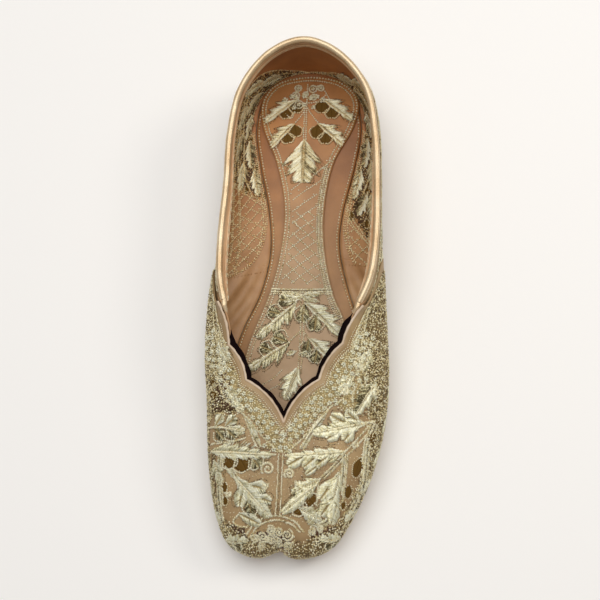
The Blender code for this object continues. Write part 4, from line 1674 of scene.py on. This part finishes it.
TOE_COILS = (
    # across, along, radius, where the spiral starts in turns
    (-13.0, -116.4, 2.5, 0.1),
    (-9.2, -113.6, 2.1, 0.45),
    (-5.6, -114.4, 2.3, 0.8),
    (-1.6, -115.6, 2.7, 0.3),
    (-9.4, -117.6, 2.2, 0.65),
    (-5.6, -118.4, 2.0, 0.0),
    (-16.8, -117.4, 1.8, 0.5),
    (-13.4, -120.2, 1.8, 0.85),
    (-1.8, -120.0, 1.9, 0.2),
    (9.6, -113.6, 1.8, 0.4),
    (13.8, -112.2, 1.6, 0.9),
)

# Where a few glints lie between the coils at the toe.
COIL_AREA = ((-18.5, -116), (-12, -111.8), (-4, -112.2), (1, -113.6), (1.2, -121), (-18, -122))

# The fields down the walls have a lower brightest tone and a smaller shining share: painted shade of the
# walls, deepest on the medial side. Those on the dark underlay show it as painted shade between their chips,
# and some round the toe go past a tone of 1 so that more chips are painted lit.
VAMP_SEEDED = (
    # spacing, size, brightest tone, share painted as shining, underlay,
    # then the corners, across and along, of an area filled with chips
    (0.95, 1.3, 1.0, 0.46, "dark", ((-43, -28), (-33, -28), (-27, -50), (-23, -60), (-43, -62))),
    (0.95, 1.2, 1.0, 0.7, "ground",
        ((36, -26), (33, -30), (29, -42), (20, -57), (24, -59.5), (33, -61), (35, -45))),
    (0.95, 1.2, 0.95, 0.4, "dark", ((43, -26), (36, -26), (35, -45), (33, -61), (42, -60))),
    (1.1, 1.25, 1.15, 0.42, "dark", ((-31, -109), (-20, -112.5), (-19.5, -122), (-31, -120))),
    (1.2, 1.1, 1.0, 0.4, "dark",
        ((-18.8, -115), (-12, -112.5), (-4, -112.5), (1.8, -114), (1.8, -122), (-20, -123))),
    (1.1, 1.25, 1.2, 0.48, "dark",
        ((7.5, -112.5), (14, -112), (20, -109.5), (24, -111), (19, -121), (8.5, -122))),
    (1.0, 1.1, 0.85, 0.35, "dark",
        ((37, -63), (43, -58), (40, -85), (31, -107), (22, -114), (28, -105), (34.5, -90), (36.4, -75))),
    (1.0, 1.1, 0.66, 0.25, "dark", ((-43, -76), (-35.6, -76.5), (-35.6, -95), (-34, -109), (-40, -105))),
    (1.0, 1.2, 1.0, 0.46, "dark", ((-42, -60), (-27, -60), (-24, -62), (-42, -63))),
    (1.0, 1.2, 1.0, 0.7, "ground", ((-13, -75.5), (-9, -78.8), (0, -78.8), (3.6, -75.8), (-4, -71))),
)

SEED_AREA = (
    # places across and along: where loose seeds lie between the leaves
    *((-34, -62), (-22, -62), (-12, -78), (3, -78), (20, -60)),
    *((37, -62), (32, -95), (20, -109), (-18, -112), (-33, -106)),
)


def embroider_vamp():
    """The needlework on top of the vamp, drawn in plan: leaves, cords, rings, coils and throat band."""
    work = new_work()
    gold, silver, chips, taken = (work[kind] for kind in ("gold", "silver", "chips", "taken"))
    for fx, fy, ex, ey, width, finish in VAMP_LOBES:
        petal(work, vamp_cloth, (fx, fy), (ex, ey), width, finish, finish in ("foil", "dark"))
    for rib in VAMP_MIDRIBS:
        gold.append(rope_row(rib, width=1.3, pitch=0.62, thread=0.6, tone=0.92, lean=0.8, height=0.9))
    for bx, by, tx, ty, half, left, right, lobes in VAMP_LEAVES:
        leaf(work, vamp_cloth, (bx, by), (tx, ty), half, left, right, lobes=lobes)
    for bx, by, tx, ty, half in VAMP_DROPS:
        drop(work, vamp_cloth, (bx, by), (tx, ty), half)
    for start, end, seed in ((-0.40, -0.003, 11), (0.003, 0.40, 12)):
        band = throat_band(start, end, 3.4, 13.6)
        ground_patch(work["ground"], vamp_cloth, band)
        turn = np.linspace(start, end, 80)
        gold.append(running_row(beside_throat(turn, 2.9), pitch=1.1, length=0.75, width=0.5, tone=0.85))
        gold.append(rope_row(beside_throat(turn, 4.2), width=1.2, pitch=1.0, thread=0.6, tone=0.8))
        gold.append(dotted(beside_throat(turn, 14.0)))
        flowers = scatter(throat_band(start, end, 5.8, 12.6), 2.5, seed + 20)
        silver.append(rosettes(flowers, radius=1.2, seed=seed, tone=0.95))
        strip = throat_band(start, end, 4.8, 13.4)
        chips.append(purl_field(strip, spacing=0.85, seed=seed, size=1.3, low=0.2, high=1.0, bright=0.55))
        taken.append(band)
    for across, along, radius, turns in VAMP_RINGS:
        curl = coil((across, along), radius, turns)
        gold.append(rope_row(curl, width=1.5, pitch=0.55, thread=0.62, tone=0.95, lean=0.6))
    for across, along, radius, start in TOE_COILS:
        # A patch of dark underlay under each coil paints the shade between its turns.
        ground_patch(work["dark"], vamp_cloth, closed_ring((across, along), radius * 0.8), cell=1.0)
        curl = coil((across, along), radius * 1.05, 1.9, start=start)
        gold.append(rope_row(curl, width=1.2, pitch=0.55, thread=0.6, tone=1.0, lean=0.5, height=0.6))
        taken.append(closed_ring((across, along), radius * 0.95))
    chips.append(purl_field(COIL_AREA, spacing=2.4, seed=61, size=1.1, low=0.5, high=1.0, bright=0.7))
    for kind, *places in VAMP_CORDS:
        gold.append(outside(taken, ROWS[kind](places)))
    for reach, sides, *places in VAMP_FRINGES:
        silver.append(outside(taken, fringe(places, reach, sides)))
    for seed, (spacing, size, high, shining, under, corners) in enumerate(VAMP_SEEDED):
        ground_patch(work[under], vamp_cloth, corners)
        field = purl_field(corners, spacing, 40 + seed, size * 1.12, low=0.1, high=high, bright=shining)
        chips.append(outside(taken, field))
        if under == "ground":
            clusters = rosettes(scatter(corners, 3.2, 70 + seed), radius=1.2, seed=seed, tone=high * 0.88)
            silver.append(outside(taken, clusters))
    seeds = purl_field(SEED_AREA, spacing=1.45, seed=51, size=0.75, low=0.3, high=1.0, bright=0.5)
    chips.append(outside(taken, seeds))
    finish_work("vamp", vamp_cloth, work)


PAD_OAKS = (
    # base across, along, tip across, along, half width, left lobes, right lobes, pairs of lobes
    (-3.8, 104.5, -19.5, 92.5, 5.6, "foil", "bright", 2),
    (9.5, 105.0, 25.0, 93.0, 6.2, "bright", "foil", 2),
    (-4.5, 91.5, -16.5, 78.5, 5.8, "foil", "silver", 2),
    (7.5, 91.5, 21.0, 79.5, 6.6, "bright", "foil", 2),
    (-1.5, -1.0, -21, -18.5, 7.0, "gold", "dark", 2),
    (2.5, -1.0, 20.5, -17.5, 8.0, "bright", "dark", 2),
    (-4.5, -21, -26, -35, 7.0, "gold", "dark", 2),
    (5, -19, 18, -32, 7.5, "bright", "dark", 2),
)

PAD_LEAVES = (
    # base across, along, tip across, along, half width, left half, right half, lobes
    (0.8, 83, 0.3, 60.0, 12.0, "gold", "bright", 3),
    (0, -33.5, -6.0, -49.5, 6.5, "silver", "bright", 3),
    (1, 2.5, -9, 3.2, 2.6, "bright", "gold", 2),
    (1, 2.5, 10, 3.2, 2.6, "bright", "gold", 2),
    (1, 1.5, -8.0, -0.6, 2.2, "bright", "gold", 2),
    (1, 1.5, 9.5, -0.6, 2.2, "bright", "gold", 2),
    (-1.0, -25.5, -5.5, -27, 1.9, "bright", "gold", 1),
    (1.5, -26, 6, -27, 1.9, "bright", "gold", 1),
)

PAD_CORDS = (
    # kind, places across and along
    ("fine", (1.8, 113), (1.6, 98), (1.5, 82)),
    ("fine", (0.6, 100), (0.4, 90), (0.4, 82)),
    ("fine", (1.5, 101), (-1, 96), (-4.5, 91.5)),
    ("fine", (1.5, 101), (4.5, 96), (8, 91.5)),
    ("fine", (1.5, 103), (5, 103), (9, 104.5), (11, 107)),
    ("fine", (-1.5, 112), (-4, 109), (-4, 106)),
    ("fine", (7, 112), (10, 110), (13, 105)),
    ("fine", (-9, 97), (-6, 94.5), (-4.5, 98)),
    ("rope", (0.6, 3), (0.7, -17), (0.0, -36)),
    ("rope", (2.2, 3), (2.3, -17), (1.4, -36)),
    ("rope", (1, -15), (-5, -21)),
    ("rope", (2, -15), (5.5, -20)),
    ("bold", (-14.5, 5.2), (0, 4.8), (16.5, 5.2)),
    ("rope", (-14, 3.4), (0, 3.1), (16.5, 3.4)),
    ("rope", (-15, 74), (-9.5, 69.5), (-4, 67)),
    ("rope", (19, 75), (11, 68), (3, 61)),
    ("fine", (-17, -42), (-12, -39), (-8, -35)),
    ("fine", (-14, -45), (-9, -42), (-5, -38)),
)

PAD_BLOOMS = (
    # across, along, radius: flowers between the rings at the heel
    (-9.5, 104.5, 1.7),
    (-6.2, 106.4, 1.5),
    (-3.4, 105.2, 1.5),
    (0.4, 106.6, 1.6),
    (3.6, 105.4, 1.5),
    (6.8, 106.2, 1.5),
    (9.6, 104.2, 1.7),
    (-5.0, 100.2, 1.3),
    (5.0, 100.2, 1.3),
    (0.2, 101.8, 1.4),
)

PAD_RINGS = (
    # across, along, radius
    (-2.4, 102.0, 2.1),
    (-4.2, 107.0, 1.9),
    (-3.0, 111.0, 1.6),
    (4.6, 110.5, 1.9),
    (8.6, 111.0, 1.5),
    (0.8, 107.5, 1.4),
    (5.0, 106.0, 1.6),
)


def embroider_pad():
    """The needlework on the centre pad: oak leaves at the heel and instep, and a lattice between them."""
    heel, work = new_work(), new_work()
    gold = work["gold"]
    for bx, by, tx, ty, half, left, right, lobes in PAD_OAKS:
        oak(heel if by > 50 else work, pad_cloth, (bx, by), (tx, ty), half, left, right, lobes)
    for bx, by, tx, ty, half, left, right, lobes in PAD_LEAVES:
        leaf(heel if by > 50 else work, pad_cloth, (bx, by), (tx, ty), half, left, right, lobes=lobes)
    for kind, *places in PAD_CORDS:
        gold.append(ROWS[kind](places))
    for across, along, radius in PAD_RINGS:
        ring = closed_ring((across, along), radius)
        gold.append(rope_row(ring, width=1.0, pitch=0.6, thread=0.6, tone=0.9, lean=0.7, height=0.5))
        gold.append(rosettes(np.array([[across, along]]), radius * 0.62, seed=5, tone=0.85))
    for across, along, radius in PAD_BLOOMS:
        gold.append(rosettes(np.array([[across, along]]), radius, seed=6, tone=0.95))
    turn = np.linspace(0.17, 1.83, 300)
    edge = outline(PAD_RUN, turn, 0.0009) / MM
    gold.append(running_row(edge, pitch=1.5, length=1.1, width=1.1, tone=0.85, height=0.55))
    lower = outline(PAD_RUN, np.linspace(0.42, 1.83, 240), 0.0026) / MM
    gold.append(fine(lower, 0.8))
    for inset in (0.0014, 0.0030):
        thick = outline(PAD_RUN, np.linspace(0.34, 0.70, 90), inset) / MM
        gold.append(chain_row(thick, width=1.7, pitch=1.0, thread=0.62, tone=0.9))
    field = outline(PAD_RUN, np.linspace(0, 2, 240), 0.0036) / MM
    field = field[(field[:, 1] > 6.5) & (field[:, 1] < 73)]
    lower_field = field[field[:, 1] < 46]
    taken = heel["taken"] + work["taken"]
    for k in range(-12, 24):
        middle = k * 6.0
        rising = [(-40, middle - 33), (0, middle), (12, middle + 8.5), (40, middle + 32)]
        falling = [(-40, middle + 37), (40, middle - 37)]
        rows = [clipped(field, fine(rising, 1.1)), clipped(lower_field, fine(falling, 0.8))]
        gold += [outside(taken, row) for row in rows]
    dots = scatter(field[field[:, 1] > 30], 4.2, 9)
    work["chips"].append(outside(taken, beads(dots)))
    finish_work("pad", pad_cloth, work)
    finish_work("pad_heel", pad_cloth, heel, gold_thread, browner_thread_and_shade)


def embroider_sock():
    """The stitch line that holds the sock leather down, near its edge."""
    turn = np.linspace(0.2, 1.8, 400)
    edge = outline(SOLE_RUN, turn, SOCK_INSET + 0.0012) / MM
    rows = [running_row(edge, pitch=1.5, length=1.05, width=0.8, tone=0.72, height=0.5)]
    sew("sock_stitching", sock_cloth, rows, STRAND, gold_thread, "gold_thread")


# The lower edge of the needlework on the linings, as mm forward and mm up.
LINING_LOW = ((0, 1.4), (60, 1.4), (108, 1.5), (114, 2.2), (123, 4.8), (129, 8.8), (132, 14.5), (133, 21))

# The limb that parts the leaves from the net, as mm forward and mm up.
LINING_LIMB = ((40, 22), (60, 20.5), (86, 20), (105, 21.5), (120, 22.5), (131, 24))

LINING_LEAVES = (
    # base forward, up, tip forward, up, half width, left half, right half
    (16, 5, 30, 12, 5.5, "bright", "gold"),
    (27, 12, 40, 24, 6.0, "bright", "gold"),
    (31, 5, 47, 10, 5.5, "bright", "dark"),
    (43, 12, 58, 21, 6.5, "bright", "gold"),
    (47, 4, 62, 7, 5.0, "bright", "gold"),
    (58, 11, 74, 18, 6.0, "bright", "dark"),
    (64, 4, 80, 5, 5.0, "bright", "dark"),
    (75, 10, 90, 14, 5.5, "bright", "gold"),
    (82, 3.5, 97, 4, 4.5, "bright", "gold"),
    (92, 11, 104, 8, 5.0, "bright", "dark"),
    (92, 14, 106, 18, 5.0, "bright", "gold"),
)


def embroider_linings():
    """The needlework inside both quarters: a vine of leaves at the heel and a net in front of it."""
    for name, hand, seed in (("lateral", 1, 60), ("medial", -1, 70)):
        turns, forward = forward_along(hand)

        def cloth(flat):
            side = np.interp(flat[:, 0], forward[::-1], turns[::-1])
            return lining_sides(side if hand > 0 else 2 - side, flat[:, 1])

        work = new_work()
        gold = work["gold"]
        low = list(LINING_LOW)
        climb = (4.4, 6, 13) if hand > 0 else (7, 14, 22)
        back = [(0, 3.2), *zip((10, 18, 27), climb)]
        high = [*back, (40, 27), (55, 29), (70, 30), (85, 33), (100, 39), (118, 44), (133, 45), (133, 21)]
        gold.append(chain_row([(x, y) for x, y in low if x > 20], tone=0.85))
        gold.append(fine([(x, y + 1.7) for x, y in low if x < 124]))
        gold.append(fine([(x, y) for x, y in high if x < 42]))
        for up in (0, 5.0):
            limb = [(x, y - up) for x, y in LINING_LIMB]
            gold.append(chain_row(limb, width=1.8, pitch=1.0, thread=0.65, tone=0.85))
        for bx, by, tx, ty, half, left, right in LINING_LEAVES[: 11 if hand > 0 else 9]:
            leaf(work, cloth, (bx, by), (tx, ty), half, left, right)
            drop(work, cloth, (tx - 1, ty - 4), (tx + 4, ty - 3.5), 1.3)
        vine = [(8, 3.5), (22, 10), (36, 9), (50, 12), (66, 9), (82, 10), (94, 8)]
        gold.append(rope_row(vine, width=1.4, tone=0.9))
        if hand > 0:
            divide = [(102, 1.5), (106, 4.5), (109, 8), (113, 13), (116, 17), (119, 24), (120, 44)]
        else:
            divide = [(103, 1.5), (99, 4.5), (94, 9), (89, 13), (86, 18), (85, 24), (86, 34)]
        gold.append(fine(divide, 0.95))
        gold.append(fine([(x + 2.0, y) for x, y in divide], 0.85))
        front = divide + [(133, 45), (133, 21)] + low[::-1][1:5]
        for k in range(-10, 26):
            rising = [(60, k * 8.0 - 70), (160, k * 8.0 + 80)]
            falling = [(60, k * 8.5 + 60), (160, k * 8.5 - 60)]
            gold.append(clipped(front, fine(rising, 0.95)))
            gold.append(clipped(front, fine(falling, 0.8)))
        dots = scatter(front, 2.6, seed)
        work["chips"].append(beads(dots))
        field = [(3, 2.6), (100, 2.6), *divide[1:-1], (divide[-1][0], 32), (70, 28), (40, 25), *back[::-1]]
        # The ground under the purl is the dark underlay: painted shade between the chips.
        ground_patch(work["ground"], cloth, field)
        purls = purl_field(field, spacing=0.98, seed=seed + 1, size=1.2, low=0.05, high=0.95, bright=0.36)
        work["chips"].append(outside(work["taken"], purls))
        finish_work(f"{name}_lining", cloth, work, gold_thread, browner_thread_and_shade, gap_shade_underlay)


def stitch_binding():
    """The long hand stitches that hold the collar's binding down."""
    first = SEAM_TURN + 0.014
    cloth, length = along_binding(first, 2 - first)
    row = running_row([(1, 3.4), (length - 1, 3.4)], pitch=3.7, length=2.5, width=0.55, tone=0.9, height=0.5)
    sew("binding_stitches", cloth, [row], STRAND, gold_thread, "gold_thread")


def embroider_quarters():
    """The needlework outside both quarters: a vine with leaves to both sides, between two borders."""
    for name, hand, seed in (("lateral", 1, 80), ("medial", -1, 90)):
        cloth = along_side(hand, False, 0.0)
        work = new_work()
        gold = work["gold"]
        low = [(1, 3), (40, 3), (80, 3.5), (110, 5), (130, 6)]
        high = [(1, 36), (20, 34.5), (40, 33.5), (60, 33.5), (80, 37), (95, 43), (110, 50), (126, 55)]
        for run in (low, high):
            gold.append(chain_row(run))
            gold.append(rope_row([(x, y + (1.9 if run is low else -1.9)) for x, y in run]))
        vine = [(1, 20)]
        for k in range(9):
            vine.append((9 + k * 14, 19 + (4 if k % 2 else -4) + max(k - 4, 0) * 2.0))
        gold.append(rope_row(vine, width=1.4))
        for k in range(9):
            x, y = vine[k + 1]
            up = -1 if k % 2 else 1
            oak(work, cloth, (x, y), (x + 10, y + up * 9), 5.5, "bright", "foil" if k % 3 else "silver")
            leaf(work, cloth, (x + 1, y - up), (x + 7, y - up * 7), 3.0, "silver", "gold", lobes=2)
            drop(work, cloth, (x + 9, y - up * 2), (x + 12, y - up * 5), 1.3)
        field = [(1, 6), (40, 6), (80, 6.5), (110, 8), (130, 9)] + [(x, y - 3) for x, y in high[::-1]]
        work["chips"].append(outside(work["taken"], purl_field(field, spacing=1.2, seed=seed, size=1.1)))
        finish_work(f"{name}_quarter", cloth, work)


# The lower border down the vamp's walls and the area of purl above it, as mm forward and mm up.
SIDE_LOW = ((130, 3), (170, 2.6), (220, 2.4), (260, 2.4), (290, 2.2))
SIDE_FIELD = (
    *((131, 6), (290, 6), (290, 15), (262, 18), (235, 22), (215, 26)),
    *((200, 33), (182, 39.5), (162, 41), (148, 45), (131, 52)),
)


def embroider_vamp_sides():
    """The needlework down the vamp's walls, round to the toe."""
    for name, hand, seed in (("lateral", 1, 100), ("medial", -1, 110)):
        cloth = along_side(hand, True, VAMP_STEP)
        work = new_work()
        gold = work["gold"]
        gold.append(chain_row(SIDE_LOW))
        gold.append(rope_row([(x, y + 1.9) for x, y in SIDE_LOW]))
        for k in range(9):
            x = 134 + k * 16
            oak(work, cloth, (x, 8), (x + 12, 15), 4.8, "bright", "foil" if k % 2 else "dark")
        upper = [(x, y + 1.5) for x, y in SIDE_FIELD if y > 26]
        gold.append(chain_row(upper))
        gold.append(rope_row([(x, y - 4) for x, y in upper]))
        # The walls' underlay is darker than the pale one: painted shade of the walls and of the gaps between
        # chips.
        ground_patch(work["ground"], cloth, SIDE_FIELD)
        field = purl_field(SIDE_FIELD, spacing=1.0, seed=seed, size=1.3, low=0.05, high=1.0, bright=0.44)
        work["chips"].append(outside(work["taken"], field))
        finish_work(f"{name}_vamp_side", cloth, work, under=wall_shade_underlay)


# ---------------------------------------------------------------- the shoe's materials


# The pebbles of each kind of skin: how broad and how deep they are, in mm.
GOAT = {"grain_mm": 0.9, "grain_depth": 0.05}
LINING = {"grain_mm": 0.8, "grain_depth": 0.04, "roughness": 0.5}
BOARD = {"grain_mm": 1.2, "grain_depth": 0.05}
SMOOTH = {"grain_mm": 0.6, "grain_depth": 0.03}

# Dyed goat leather with a smooth, slightly waxed face: a dull sheen, and a tan that shifts over the panel.
upper_leather = leather("tan_goat_leather", "B89A6E", "9E815A", **GOAT, roughness=0.5)

# Vegetable-tanned lining leather: warm and matt, and browner by the heel, where the darker pair also paints
# the shade of the heel cup.
lining_leather = leather("brown_lining_leather", "C49A6C", "AA7E52", **LINING, heel=("BC7A44", "A66836"))
insole_leather = leather("sock_leather", "B28450", "9C7040", **LINING, heel=("A86A34", "905826"))
pad_leather = leather("pad_leather", "BC9C76", "A88861", **LINING, heel=("BA7C3C", "A2682E"))

# Bare bend leather and pressed leather board: coarser, dry and without a finish.
sole_leather = leather("cream_sole_leather", "DCC8AA", "C8AE88", **BOARD, roughness=0.6)
heel_leather = leather("stacked_heel_leather", "6B4A30", "4E3220", **BOARD, roughness=0.5)

# Leatherette with a thin gold film: a tight bright line of light on the cord, softer on the binding.
gold_piping = leather("gold_leatherette", "E6D0AC", "CDAE84", **SMOOTH, roughness=0.24, metal=0.35)
# The binding is a light tan leather, coloured lighter still as painted light on the upright strip, which
# stands in shade.
binding_leather_painted_light = leather("binding_leather_painted_light", "F0CCA0", "DEB68A", **SMOOTH, roughness=0.42, metal=0.1)

# The vamp's turned edge: fine pale leather with a soft sheen, its paleness partly painted highlight along
# the rolled edge.
pale_edge_and_highlight = leather("pale_edge_and_highlight_leather", "E2CDB4", "CDB294", **SMOOTH, roughness=0.4)

# Napped black cotton tape inside the throat's edge. It also paints the shadow under that edge, so the
# throat's inner edge reads as a dark line.
facing_and_shadow = plain("black_facing_and_shadow", "140A0A", Roughness=0.9, IOR=1.12)

# Flat gilt and silvered strip on a core, and a browner gold for the thread at the heel and on the linings,
# partly painted warm shade inside the shoe.
gold_thread = metal_thread("gold_thread", "56401C", "E8D6A0", "FFF9DC", roughness=0.3, metal=0.28)
silver_thread = metal_thread("silver_thread", "504424", "E6DDAE", "FFFDE6", roughness=0.32, metal=0.42)
browner_thread_and_shade = metal_thread("browner_thread_and_shade", "583814", "E6BE78", "FFEFC2", roughness=0.3, metal=0.36)

# Matt cotton laid under the metal and seen between the stitches. The dark one paints the shade between the
# stitches, and the one under the vamp's walls paints the shade of the walls, both over the cotton's own
# colour; the pale one is the cotton's colour.
gap_shade_underlay = plain("gap_shade_underlay", "543820", Roughness=0.7)
wall_shade_underlay = plain("wall_shade_underlay", "80683F", Roughness=0.7)
underlay = plain("underlay_thread", "B09A68", Roughness=0.7)

# Thin bronze foil, lacquered and worn dull: deep brown with hardly a highlight.
bronze_foil = plain("bronze_foil", "64481C", Roughness=0.75, IOR=1.2)


# ---------------------------------------------------------------- making the shoe


vamp_shell = make_vamp_leather(upper_leather)
make_quarter_leather(upper_leather)
lining_sides = make_linings(lining_leather)
make_collar_piping(gold_piping)
make_collar_binding(binding_leather_painted_light)
make_throat_edge(pale_edge_and_highlight, facing_and_shadow)
sock_shell, pad_shell = make_soles(sole_leather, heel_leather, insole_leather, pad_leather)

vamp_cloth = seen_from_above(vamp_shell)
sock_cloth = seen_from_above(sock_shell)
pad_cloth = seen_from_above(pad_shell)

embroider_vamp()
embroider_pad()
embroider_sock()
embroider_linings()
stitch_binding()
embroider_quarters()
embroider_vamp_sides()
make_stage()
make_camera()
